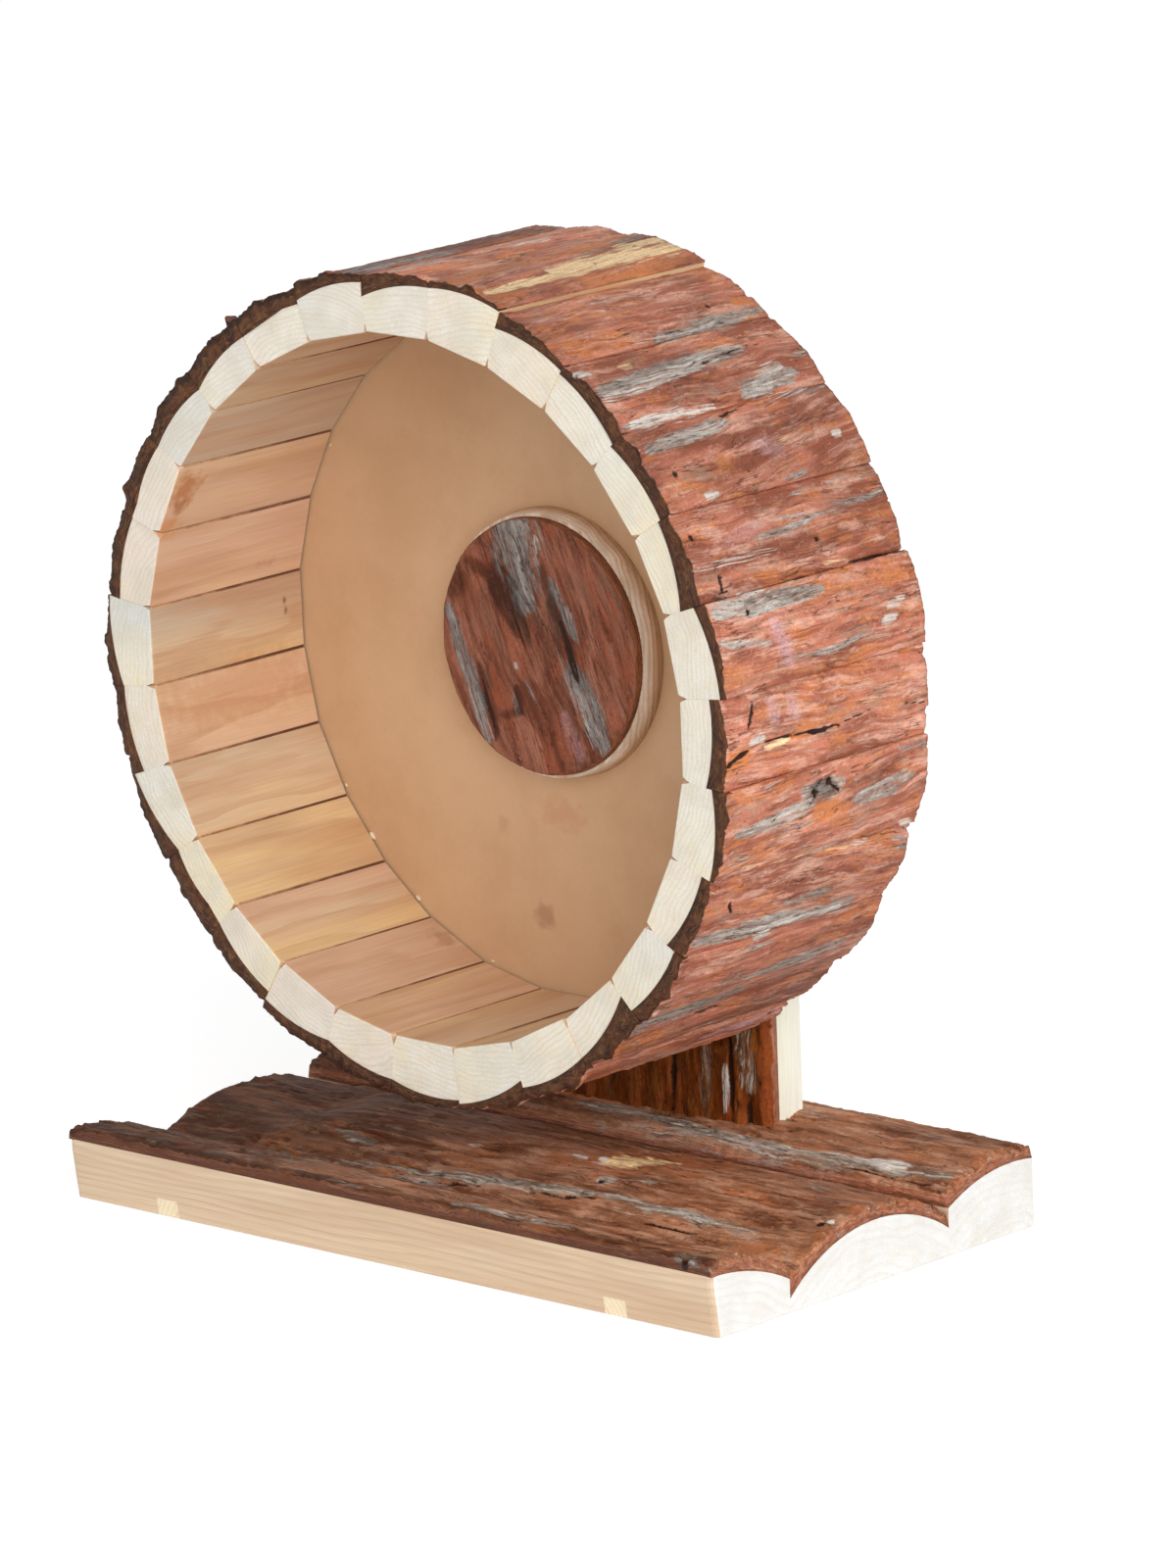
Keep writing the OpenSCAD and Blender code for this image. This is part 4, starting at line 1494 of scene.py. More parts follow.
@dataclass
class Drum:
    """The drum: slats, their bark, the back panel and the glue at its edge."""

    running_r: float = 100.0
    depth: float = 84.0
    panel_setback: float = 62.0
    groove_r: float = 102.9
    groove_past_panel: Pair = (-0.65, 4.1)
    slat_count: int = 28
    first_joint: float = 109.0
    slat_wood: float = 12.0
    slat_bark: float = 4.5
    slat_dome: float = 0.8
    bark_round: float = 1.2
    bark_least: float = 0.6
    bark_follow: float = 0.4
    bark_gap: float = 0.25
    arc_r: float = 117.0
    nick_depth: float = 1.6
    dome_steps: int = 8
    log_spacing: float = 137.0
    photo_angles: Pair = (-52.0, 100.0)
    seed: int = 41

    @property
    def stops(self) -> Tuple[float, ...]:
        """Places along a slat: its front, the nicks' end, the groove's two sides, its back."""
        near, far = (self.panel_setback + past for past in self.groove_past_panel)
        return 0.0, self.nick_depth, near, far, self.depth

    def slats(self) -> List[Slat]:
        """Lists the slats clockwise from the first joint.

        Returns:
            The slats, each with random numbers of its own.
        """
        step = 360 / self.slat_count
        made = []
        for i, extra in enumerate(SLAT_EXTRA):
            start, end = (self.first_joint - k * step for k in (i, i + 1))
            made.append(Slat(i + 1, start, end, extra, random.Random(self.seed * 100 + i)))
        return made

    @staticmethod
    def spot(radius: float, angle: float, along: float) -> Vector:
        """Puts a point at a radius and an angle round the axle, and along behind the front rim."""
        cos, sin = math.cos(math.radians(angle)), math.sin(math.radians(angle))
        return Vector((radius * cos, FRONT_RIM_Y + along, AXLE_Z + radius * sin))

    @staticmethod
    def _radius(point: Vector) -> float:
        """Distance of a point from the axle."""
        return math.hypot(point.x, point.z - AXLE_Z)

    def wood_r(self, slat: Slat, share: float) -> float:
        """Radius of a slat's wood, where share is 0 at its first edge and 1 at its second."""
        edge = self.running_r + self.slat_wood + slat.extra[0] * (1 - share) + slat.extra[1] * share
        return edge + self.slat_dome * 4 * share * (1 - share)

    def bark_r(self, slat: Slat, share: float) -> float:
        """Radius of a slat's bark before its relief.

        Args:
            slat: The slat.
            share: 0 at its first edge, 1 at its second.

        Returns:
            The radius.
        """
        mean = sum(slat.extra) / 2
        wood = self.running_r + self.slat_wood
        thin = wood + mean + self.slat_dome + self.bark_least
        middle = max(thin, wood + self.slat_bark + self.bark_follow * mean)
        least = middle - self.bark_round
        edges = [max(wood + extra + self.bark_least, least) for extra in slat.extra]
        rise = middle - sum(edges) / 2
        return edges[0] * (1 - share) + edges[1] * share + rise * 4 * share * (1 - share)

    def _slat_blank(self, slat: Slat) -> BMesh:
        """Makes a slat's wood, drawn out along the axle from its front face.

        Args:
            slat: The slat.

        Returns:
            The mesh.
        """
        bm = bmesh.new()
        angles = (slat.start, slat.end)
        shift = [slat.rng.uniform(-0.25, 0.35) for _ in angles]
        inner = [bm.verts.new(self.spot(self.running_r + s, a, 0)) for s, a in zip(shift, angles)]
        lip = [bm.verts.new(self.spot(self.groove_r, a, 0)) for a in angles]
        outer = []
        for share in (k / self.dome_steps for k in range(self.dome_steps + 1)):
            angle = slat.start + (slat.end - slat.start) * share
            outer.append(bm.verts.new(self.spot(self.wood_r(slat, share), angle, 0)))
        bm.faces.new([inner[0], lip[0], lip[1], inner[1]])
        bm.faces.new([lip[0], *outer, lip[1]])
        ends = bm.faces[:]
        for near, far in zip(self.stops, self.stops[1:]):
            made = bmesh.ops.extrude_face_region(bm, geom=ends)["geom"]
            ends = faces_of(made)
            bmesh.ops.translate(bm, vec=(0, far - near, 0), verts=corners_of(made))
        return bm

    def _cut_groove(self, bm: BMesh) -> None:
        """Opens the groove that takes the panel's edge.

        Args:
            bm: The slat's wood.
        """
        near, far = self.stops[2:4]
        middle = FRONT_RIM_Y + (near + far) / 2
        gone = [
            face for face in bm.faces
            if abs(face.calc_center_median().y - middle) < 0.01
            and self._radius(face.calc_center_median()) < self.groove_r - 0.3
            and min(self._radius(v.co) for v in face.verts) < self.running_r + 1
        ]  # fmt: skip
        bmesh.ops.delete(bm, geom=gone, context="FACES")

        def corners(y: float, low: float, high: float) -> List[BMVert]:
            """Lists the corners at one place along the slat between two radii."""
            found = (v for v in bm.verts if abs(v.co.y - FRONT_RIM_Y - y) < 0.01)
            return [v for v in found if low < self._radius(v.co) < high]

        lips = [corners(y, self.groove_r - 0.1, self.groove_r + 0.1) for y in (near, far)]
        inners = [corners(y, self.running_r - 10, self.running_r + 1) for y in (near, far)]
        for inner, lip in zip(inners, lips):
            bmesh.ops.contextual_create(bm, geom=[*inner, *lip])
        bmesh.ops.contextual_create(bm, geom=[*lips[0], *lips[1]])

    def _ease_front(self, bm: BMesh, slat: Slat) -> None:
        """Cuts the nicks at a slat's inner front corners and sets its front face back a little.

        Args:
            bm: The slat's wood.
            slat: The slat.
        """
        front = [v for v in bm.verts if v.co.y < FRONT_RIM_Y + 0.01]
        for vert in front:
            if self._radius(vert.co) < self.running_r + 1:
                toward = self.spot(self.running_r, slat.middle, 0) - vert.co
                vert.co += toward.normalized() * slat.rng.uniform(0.3, 1.2)
        bmesh.ops.translate(bm, vec=(0, slat.rng.uniform(0.0, 0.45), 0), verts=front)

    def _in_groove(self, y: float, slack: float) -> bool:
        """Tells whether a place along Y lies in the groove or up to a slack from it."""
        return self.stops[2] - slack < y - FRONT_RIM_Y < self.stops[3] + slack

    def _slat_wood(self, slat: Slat) -> BMesh:
        """Makes a slat's wood with its groove and worn inner edges.

        Args:
            slat: The slat.

        Returns:
            The mesh. Its materials are 0 sides, 1 end grain, 2 joints and groove, in painted shade.
        """
        bm = self._slat_blank(slat)
        self._cut_groove(bm)
        self._ease_front(bm, slat)
        bmesh.ops.recalc_face_normals(bm, faces=bm.faces)
        worn = [
            edge for edge in bm.edges
            if edge.is_manifold and edge.calc_face_angle(0) > 0.9
            and all(self._radius(v.co) < self.running_r + 1.0 for v in edge.verts)
            and not all(self._in_groove(v.co.y, 0.2) for v in edge.verts)
        ]  # fmt: skip
        made = bmesh.ops.bevel(
            bm, geom=worn, offset=slat.rng.uniform(0.34, 0.5), offset_type="OFFSET", segments=2,
            profile=0.5, affect="EDGES", material=-1,
        )  # fmt: skip
        for face in bm.faces:
            face.material_index = 1 if abs(face.normal.y) > 0.8 else 0
        # The eased joint faces and the groove take the joint finish, which is painted shade.
        for face in made["faces"]:
            behind_front = face.calc_center_median().y > FRONT_RIM_Y + 3
            if abs(face.normal.y) < 0.25 and behind_front:
                face.material_index = 2
        for face in bm.faces:
            middle = face.calc_center_median()
            if self._in_groove(middle.y, 0.1) and self._radius(middle) < self.groove_r + 0.5:
                face.material_index = 2
        return bm

    def _write_slat_log(self, slat: Slat, bm: BMesh) -> None:
        """Writes where a slat lay in its own log, and its tints.

        Args:
            slat: The slat.
            bm: Its wood.
        """
        lean = math.radians(slat.rng.uniform(-20, 20))
        depth = slat.rng.uniform(48, 95)
        cos, sin = math.cos(lean), math.sin(lean)
        middle = math.radians(slat.middle)
        outward = Vector((math.cos(middle), 0, math.sin(middle)))
        sideways = Vector((outward.z, 0, -outward.x))
        centre = self.spot(self.wood_r(slat, 0.5) - depth, slat.middle, 0)
        shift = slat.number * self.log_spacing

        def in_log(point: Vector) -> Vector:
            """Turns a point into its place in the slat's own log."""
            x, z = (point - centre).dot(sideways), (point - centre).dot(outward) - depth
            return Vector((x * cos - z * sin, point.y + shift, x * sin + z * cos + depth))

        looks = SLAT_TINTS.get(slat.number)
        if looks is None:
            looks = [[slat.rng.uniform(0.0, 0.6) for _ in range(3)] for _ in range(2)]
        span = (self.spot(1, slat.end, 0) - self.spot(1, slat.start, 0)).normalized()
        half = self.running_r * math.sin(math.radians((slat.start - slat.end) / 2))

        def tint(point: Vector) -> Sequence[float]:
            """Mixes the tints of a slat's two long edges."""
            share = clamp(0.5 + (point - centre).dot(span) / (2 * half))
            return [a * (1 - share) + b * share for a, b in zip(*looks)]

        write_log(bm, in_log, tint)

    def _slat_marks(self, slat: Slat, arc: float) -> List[Mark]:
        """Lists the marks that reach a slat.

        Args:
            slat: The slat.
            arc: Millimetres for each degree.

        Returns:
            The marks, in millimetres round the drum.
        """
        low, high = slat.end * arc, slat.start * arc
        found = []
        for mark in DRUM_MARKS:
            sides = (mark.across * arc, mark.end_across * arc)
            reach = 3 * mark.half_width
            if min(sides) - reach < high and max(sides) + reach > low:
                found.append(mark._replace(across=sides[0], end_across=sides[1]))
        if self.photo_angles[0] < slat.middle < self.photo_angles[1]:
            return found
        rng = slat.rng
        for kind, count, half in LOOSE_MARKS:
            for _ in range(count):
                u, v = rng.uniform(low, high), rng.uniform(0, self.depth)
                far = min(self.depth, v + (0.0 if kind is K.HOLE else rng.uniform(6, 34)))
                side, width = u + rng.uniform(-1.5, 1.5), half * rng.uniform(0.7, 1.3)
                strength = rng.uniform(0.6, 1)
                if kind is K.HOLE:
                    strength = 1.0
                found.append(Mark(kind, u, v, side, far, width, strength))
        return found

    def _build_slat(self, slat: Slat) -> None:
        """Makes one slat's wood and bark.

        Args:
            slat: The slat.
        """
        bm = self._slat_wood(slat)
        self._write_slat_log(slat, bm)
        looks = ("slat_side", "slat_end", "slat_joint_shade")
        new_piece(f"{slat.name}_wood", bm, looks, "wheel", (slat.name,))
        arc = math.radians(1) * self.arc_r

        def share_of(u: float) -> float:
            """Says how far across the slat a point of the bark is."""
            return (slat.start - u / arc) / (slat.start - slat.end)

        def seat(u: float, v: float, lift: float) -> Vector:
            """Puts a point on the slat's bark."""
            floor = self.wood_r(slat, share_of(u)) + self.bark_gap
            return self.spot(max(floor, self.bark_r(slat, share_of(u)) + lift), u / arc, v)

        def under(u: float, v: float) -> Vector:
            """Puts a point on the slat's wood."""
            return self.spot(self.wood_r(slat, share_of(u)) - 0.1, u / arc, v)

        rng, marks = slat.rng, self._slat_marks(slat, arc)
        unseen = (rng.uniform(-0.4, 0.4), rng.uniform(0.0, 0.6))
        tone, rust = SLAT_BARK.get(slat.number, unseen)
        relief = TurnedField(
            seed=slat.number * 7.31,
            flake_lift=rng.uniform(0.13, 0.26),
            crack_share=rng.uniform(-0.05, 0.08),
            greyness=rng.uniform(0.10, 0.35),
            tone=tone,
            rust=rust,
            marks=marks,
            turn=math.radians(rng.uniform(-6, 6)),
        )
        sheet = BarkSheet(
            f"{slat.name}_bark", (slat.end * arc, slat.start * arc), (0.0, self.depth), relief,
            seat, under, ("drum_bark", "drum_bark_end"), chip=(0.7, 0.2), chip_sides=0.2,
            edge_drop=0.1, torn=2.6, side_finish=0, crumbly=(0.3, 0.3),
        )  # fmt: skip
        sheet.build("wheel", "slat_pine", slat.name)

    def _build_glue(self) -> None:
        """Makes the beads of glue that show where the panel meets the slats."""
        bm = bmesh.new()
        rng = random.Random(self.seed)
        for angle, size in GLUE_BEADS:
            place = self.spot(self.running_r - 1.2, angle, self.panel_setback - 0.2)
            turn = Matrix.Rotation(-math.radians(angle), 4, "Y")
            verts = bmesh.ops.create_icosphere(bm, subdivisions=3, radius=size)["verts"]
            for vert in verts:
                vert.co *= 1 + 0.25 * noise.noise(vert.co * 1.7 + Vector((angle, 0, 0)))
            bmesh.ops.scale(bm, vec=(0.9, 0.8, 1.5 + rng.random()), verts=verts)
            bmesh.ops.transform(bm, matrix=Matrix.Translation(place) @ turn, verts=verts)
        for face in bm.faces:
            face.smooth = True
        new_piece("panel_glue", bm, ("dried_glue",), "wheel")

    def build(self) -> None:
        """Makes every piece of the drum."""
        for slat in self.slats():
            self._build_slat(slat)
        self._build_glue()
        dress(("back_panel",), "hardboard")


# Wood that keeps its CAD shape under the bark


def wood_from_node(
    node: str, settle: Callable[[Vector], Vector], end_axis: int
) -> BMesh:
    """Copies a CAD node and takes its bark off, because a sheet of bark goes on instead.

    Args:
        node: The CAD node.
        settle: Moves a point that lies in the bark down to the wood.
        end_axis: The axis along the grain, whose faces are end grain.

    Returns:
        The mesh, in millimetres.
    """
    bm = bmesh.new()
    bm.from_mesh(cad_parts[node].data)
    bmesh.ops.scale(bm, vec=(1 / MM,) * 3, verts=bm.verts)
    bmesh.ops.remove_doubles(bm, verts=bm.verts, dist=0.003)
    for vert in bm.verts:
        vert.co = settle(vert.co.copy())
    bmesh.ops.remove_doubles(bm, verts=bm.verts, dist=0.003)
    bmesh.ops.dissolve_degenerate(bm, edges=bm.edges, dist=0.003)
    for face in bm.faces:
        face.smooth = False
        face.material_index = 1 if abs(face.normal[end_axis]) > 0.9 else 0
    return bm


FRONT_SLAB_MARKS = marks_of({
    K.ORANGE: ((-66, 121.0, -37, 121.0, 4.0, 0.6), (-55.0, 116, -50.0, 121, 5.0, 0.8)),
    K.DARK: ((-67.0, -220, -67.0, 220, 3.6),),
    K.PALE: (
        (-62.6, -130, -62.0, 30, 0.5, 0.6), (-63.5, 32, -63.8, 52, 1.5, 0.7),
        (-66.0, 114.6, -67.2, 114.9, 0.8, 0.9), (-61.8, 110, -61.9, 115, 0.7, 0.8),
        (-54.8, 119, -54.8, 119.6, 0.9),
    ),
    K.CRACK: ((-65.0, 13, -64.4, 27, 0.5, 0.8),),
    K.GREY: (
        (-62.5, 24, -62.5, 66, 3.2, 0.7), (-66.0, 109, -66.0, 116, 3.2, 0.65),
        (-41.0, -90, -40.0, -30, 2.0, 0.4),
    ),
    K.HOLE: ((-66.6, 112.3, -66.6, 112.3, 1.5),),
})  # fmt: skip

MIDDLE_SLAB_MARKS = marks_of({
    K.ORANGE: ((-35, 121.0, 30, 121.0, 4.0, 0.6), (-7.0, 26, 8.0, 60, 8.0, 0.8)),
    K.WORN: ((-16.0, -150, -2.0, -84, 26.0),),
    K.GREY: (
        (-34.0, -122, -28.0, -25, 1.4, 0.6), (-28.0, -25, -22.6, 40, 1.8),
        (-22.6, 40, -24.0, 100, 1.6, 0.9), (29.6, -20, 30.4, 112, 1.5, 0.5),
        (-16.5, 35, -16.0, 40, 2.2), (20.0, -40, 24.0, 10, 3.0, 0.7),
    ),
    K.CRACK: (
        (-30.4, -20, -28.0, 1, 0.7, 0.8), (-26.4, 18, -24.0, 41, 0.8, 0.85),
        (-28.2, 62, -27.4, 95, 0.55, 0.75), (-17.0, 70, -14.4, 90, 0.6, 0.8),
        (-9.0, 62, -9.8, 88, 0.5, 0.7), (30.0, 62, 30.2, 90, 0.6, 0.7),
        (-5.2, 37.5, -4.2, 45, 0.7, 0.8),
    ),
    K.PALE: (
        (-27.0, 40, -25.4, 92, 0.45, 0.45), (-7.3, 19, -7.3, 22, 1.3), (-6.1, 27, -6.1, 28.4, 1.2),
        (-8.6, 24, -8.6, 34, 0.8, 0.8), (-13.5, -16, -13.0, -13, 1.2, 0.8),
        (-14.0, 117.6, -13.6, 118.4, 1.1),
    ),
    K.BARE: ((-6.5, 30, 3.0, 47, 4.0, 0.95),),
    K.HOLE: ((-16.5, 36, -16.5, 36.4, 1.0), (-15.0, 115.5, -15.0, 115.5, 1.5)),
})  # fmt: skip

REAR_SLAB_MARKS = marks_of({
    K.ORANGE: (
        (32, 121.0, 67, 121.0, 4.0, 0.6), (58.0, 100, 50.0, 120, 4.0, 0.6),
        (44.0, 50, 50.0, 58, 4.0, 0.6),
    ),
    K.GREY: (
        (37.0, -20, 36.0, 14, 2.6, 0.8), (36.4, 8, 34.6, 62, 2.4), (34.6, 60, 37.0, 118, 2.4, 0.9),
        (31.6, -10, 32.2, 100, 1.4, 0.55),
    ),
    K.PALE: ((38.0, 88, 37.4, 102, 2.4), (37.6, 10, 37.2, 24, 1.0, 0.7)),
    K.CRACK: ((33.0, 76, 33.6, 114, 0.6, 0.7),),
})  # fmt: skip


@dataclass(frozen=True)
class SlabShape:
    """Sizes of one base slab, cut from the round of a log, and the marks on its bark."""

    label: str
    front_y: float
    width: float
    crown_y: float
    crown_h: float
    log_r: float
    seed: float
    side_tone: float
    marks: Tuple[Mark, ...]

    @property
    def node(self) -> str:
        """The slab's CAD node."""
        return f"base_{self.label}_slab"

    @property
    def axis(self) -> Pair:
        """The middle of the log, along Y and Z."""
        return self.front_y + self.crown_y, self.crown_h - self.log_r

    def top(self, radius: float, y: float) -> float:
        """Height of a round of the log at one place."""
        return self.axis[1] + math.sqrt(radius**2 - (y - self.axis[0]) ** 2)


@dataclass
class Base:
    """The base: three slabs with their bark up, on two battens."""

    width: float = 244.0
    bark: float = 3.5
    least_bark: float = 0.4
    front_corner_y: float = -65.0
    corner_r: float = 1.9
    log_spacing: float = 90.0
    tint: Triple = (0.3, 0.1, 0.2)
    shapes: Tuple[SlabShape, ...] = (
        SlabShape("front", -67.5, 31.5, 0.0, 17.5, 66.0, 3.1, -1.7, FRONT_SLAB_MARKS),
        SlabShape("middle", -36.0, 67.0, 36.0, 17.7, 54.0, 9.7, -0.8, MIDDLE_SLAB_MARKS),
        SlabShape("rear", 31.0, 36.5, 27.0, 20.3, 57.0, 15.3, 0.4, REAR_SLAB_MARKS),
    )

    def build(self) -> None:
        """Makes the slabs, and dresses the battens and screws that the CAD holds."""
        for shape in self.shapes:
            self._build_slab(shape)
        dress(("left_batten", "right_batten"), "batten_wood")
        dress(("batten_screws",), "zinc_steel")

    def _corners(self, bm: BMesh) -> List[BMEdge]:
        """Lists the upright edges at the two front corners of a slab's wood.

        Args:
            bm: The slab's wood.

        Returns:
            The edges.
        """
        end_x, front_y = self.width / 2 - 0.05, self.front_corner_y
        return [
            edge for edge in bm.edges
            if all(abs(v.co.x) > end_x and v.co.y < front_y for v in edge.verts)
            and abs(edge.verts[0].co.z - edge.verts[1].co.z) > 0.5
        ]  # fmt: skip

    def _round_corners(self, bm: BMesh) -> None:
        """Rounds the front corners of a slab's wood, once the flat faces beside them are whole.

        Args:
            bm: The slab's wood.
        """
        ends = {vert for corner in self._corners(bm) for vert in corner.verts}
        beside = {edge for vert in ends for edge in vert.link_edges if edge.is_manifold}
        flat = [edge for edge in beside if edge.calc_face_angle(0) < 0.01]
        bmesh.ops.dissolve_edges(bm, edges=flat)
        bmesh.ops.bevel(
            bm, geom=self._corners(bm), offset=self.corner_r, offset_type="OFFSET", segments=3,
            profile=0.5, affect="EDGES", material=-1,
        )  # fmt: skip

    def _build_slab(self, shape: SlabShape) -> None:
        """Makes one slab's wood and bark.

        Args:
            shape: The slab.
        """
        axis_y, axis_z = shape.axis

        def settle(point: Vector) -> Vector:
            """Moves a point in the bark straight down to the wood."""
            point.z = min(point.z, shape.top(shape.log_r, point.y))
            return point

        def in_log(point: Vector) -> Vector:
            """Turns a point into its place in the slab's log."""
            along = point.x + shape.seed * self.log_spacing
            return Vector((point.y - axis_y, along, point.z - axis_z))

        def seat(u: float, v: float, lift: float) -> Vector:
            """Puts a point on the slab's bark.

            Args:
                u, v: The point, along Y and X.
                lift: Its relief.

            Returns:
                Where it goes.
            """
            away = Vector((0, u - axis_y, shape.top(shape.log_r + self.bark, u) - axis_z))
            away *= 1 + max(lift, self.least_bark - self.bark) / away.length
            return Vector((v, axis_y + away.y, axis_z + away.z))

        def under(u: float, v: float) -> Vector:
            """Puts a point on the slab's wood."""
            return Vector((v, u, shape.top(shape.log_r, u) - 0.1))

        bm = wood_from_node(shape.node, settle, 0)
        if shape.front_y < self.front_corner_y:
            self._round_corners(bm)
        write_log(bm, in_log, lambda _: self.tint)
        looks = ("base_side", "base_end")
        new_piece(f"{shape.node}_wood", bm, looks, "stand", (shape.node,))
        # The slabs' low tone and the shade ramp are painted shade: dark at the left end, lightening
        # to the middle.
        relief = BarkField(
            seed=shape.seed, flake_lift=0.32, flake_across=8.0, flake_along=60.0, crack_depth=1.1,
            crack_share=0.18, fibre_lift=0.14, lump_lift=0.28, greyness=0.2, crack_across=3.6,
            tone=-1.75, painted_shade_ramp=2.25, marks=shape.marks,
        )  # fmt: skip
        sheet = BarkSheet(
            f"{shape.node}_bark", (shape.front_y, shape.front_y + shape.width),
            (-self.width / 2, self.width / 2), relief, seat, under, ("base_bark", "base_bark_end"),
            cell=0.8, chip=(0.6, 1.5), chip_sides=0.4, edge_drop=0.5, dark_rim=0.0,
            side_tone=shape.side_tone, crumbly=(0.25, 1.0), marked_sides=True,
        )  # fmt: skip
        sheet.build("stand", "base_bark", shape.node)


POST_MARKS = marks_of({
    K.PALE: ((31.3, 24, 31.5, 39, 0.9),),
    K.GREY: ((36.0, 52, 40.5, 32, 3.6, 0.8), (24.0, 20, 26.0, 60, 2.0, 0.6)),
    K.CRACK: (
        (33.5, 18, 33.0, 60, 1.0), (39.0, 16, 39.6, 30, 1.1), (12.0, 15, 14.0, 90, 0.8),
        (-18.0, 40, -16.0, 130, 1.0),
    ),
    K.ORANGE: ((45.4, 12, 45.4, 190, 2.4), (-45.4, 12, -45.4, 190, 2.0, 0.8)),
})  # fmt: skip


@dataclass
class Post:
    """The post: a bark-faced slab on end behind the drum."""

    width: float = 94.0
    foot_z: float = 12.0
    top_z: float = 194.3
    bark_y: float = 40.5
    bark: float = 3.5
    log_r: float = 370.0
    log_shift: float = 900.0
    pith_depth: float = 90.0
    spot_r: float = 13.0
    spot_y: float = 41.5
    spot_edge: float = 0.6
    tint: Triple = (0.0, 0.0, 0.2)

    def build(self) -> None:
        """Makes the post's wood and bark, and dresses its screws."""
        axis_y = self.bark_y + self.bark + self.log_r

        def front(radius: float, x: float) -> float:
            """Place along Y of a round of the log."""
            return axis_y - math.sqrt(radius**2 - x * x)

        def settle(point: Vector) -> Vector:
            """Moves a point in the bark back to the wood."""
            point.y = max(point.y, front(self.log_r, point.x))
            return point

        def in_log(point: Vector) -> Vector:
            """Turns a point into its place in the post's log."""
            depth = point.y - axis_y + self.log_r - self.pith_depth
            return Vector((point.x, point.z + self.log_shift, depth))

        def seat(u: float, v: float, lift: float) -> Vector:
            """Puts a point on the post's bark, which is cut flat round the axle for the nut.

            Args:
                u, v: The point, along X and Z.
                lift: Its relief.

            Returns:
                Where it goes.
            """
            y = front(self.log_r + self.bark, u) - lift
            flat = 1 - ease(self.spot_r, self.spot_r + self.spot_edge, math.hypot(u, v - AXLE_Z))
            return Vector((u, y + (self.spot_y - y) * flat, v))

        def under(u: float, v: float) -> Vector:
            """Puts a point on the post's wood."""
            return Vector((u, front(self.log_r, u) + 0.1, v))

        bm = wood_from_node("post", settle, 2)
        write_log(bm, in_log, lambda _: self.tint)
        looks = ("post_side", "base_end")
        new_piece("post_wood", bm, looks, "stand", ("post",))
        relief = BarkField(
            seed=27.9, flake_lift=0.4, flake_across=7.0, flake_along=45.0, crack_depth=1.2,
            crack_share=0.25, fibre_lift=0.16, lump_lift=0.3, greyness=0.2, crack_across=4.0,
            marks=POST_MARKS,
        )  # fmt: skip
        sheet = BarkSheet(
            "post_bark", (-self.width / 2, self.width / 2), (self.foot_z, self.top_z), relief,
            seat, under, ("post_bark", "base_bark_end"), cell=1.0, chip=(1.2, 1.2),
            chip_sides=0.8, edge_drop=0.9,
        )  # fmt: skip
        sheet.build("stand", "post_bark", "post")
        dress(("post_screws",), "zinc_steel")


@dataclass
class CoverSheet(BarkSheet):
    """The round sheet of bark on the cover."""

    steps: int = 200
    ragged: float = 0.2
    ragged_reach: float = 1.2

    @property
    def radius(self) -> float:
        """The sheet's radius."""
        return self.us[1]

    def _blank(self) -> BMesh:
        """Makes the flat round sheet by spinning a row of points about its middle.

        Returns:
            The mesh.
        """
        bm = bmesh.new()
        count = round(self.radius / self.cell)
        row = [bm.verts.new((self.radius * k / count, 0, 0)) for k in range(count + 1)]
        edges = [bm.edges.new(pair) for pair in zip(row, row[1:])]
        bmesh.ops.spin(
            bm, geom=[*row, *edges], cent=(0, 0, 0), axis=(0, 0, 1), angle=math.tau,
            steps=self.steps, use_merge=True,
        )  # fmt: skip
        bmesh.ops.remove_doubles(bm, verts=bm.verts, dist=0.001)
        return bm

    def _inset(self, u: float, v: float) -> Pair:
        """Chips the round edge a little.

        Args:
            u, v: The point.

        Returns:
            Where it goes.
        """
        out = math.hypot(u, v)
        past = out - self.radius + self.ragged_reach
        if past < 0:
            return u, v
        angle = math.atan2(v, u)
        edge = Vector((math.cos(angle) * 5, math.sin(angle) * 5, 8.8))
        reach = self.ragged + self.ragged * noise.noise(edge)
        pull = 1 - reach * past / self.ragged_reach / out
        return u * pull, v * pull


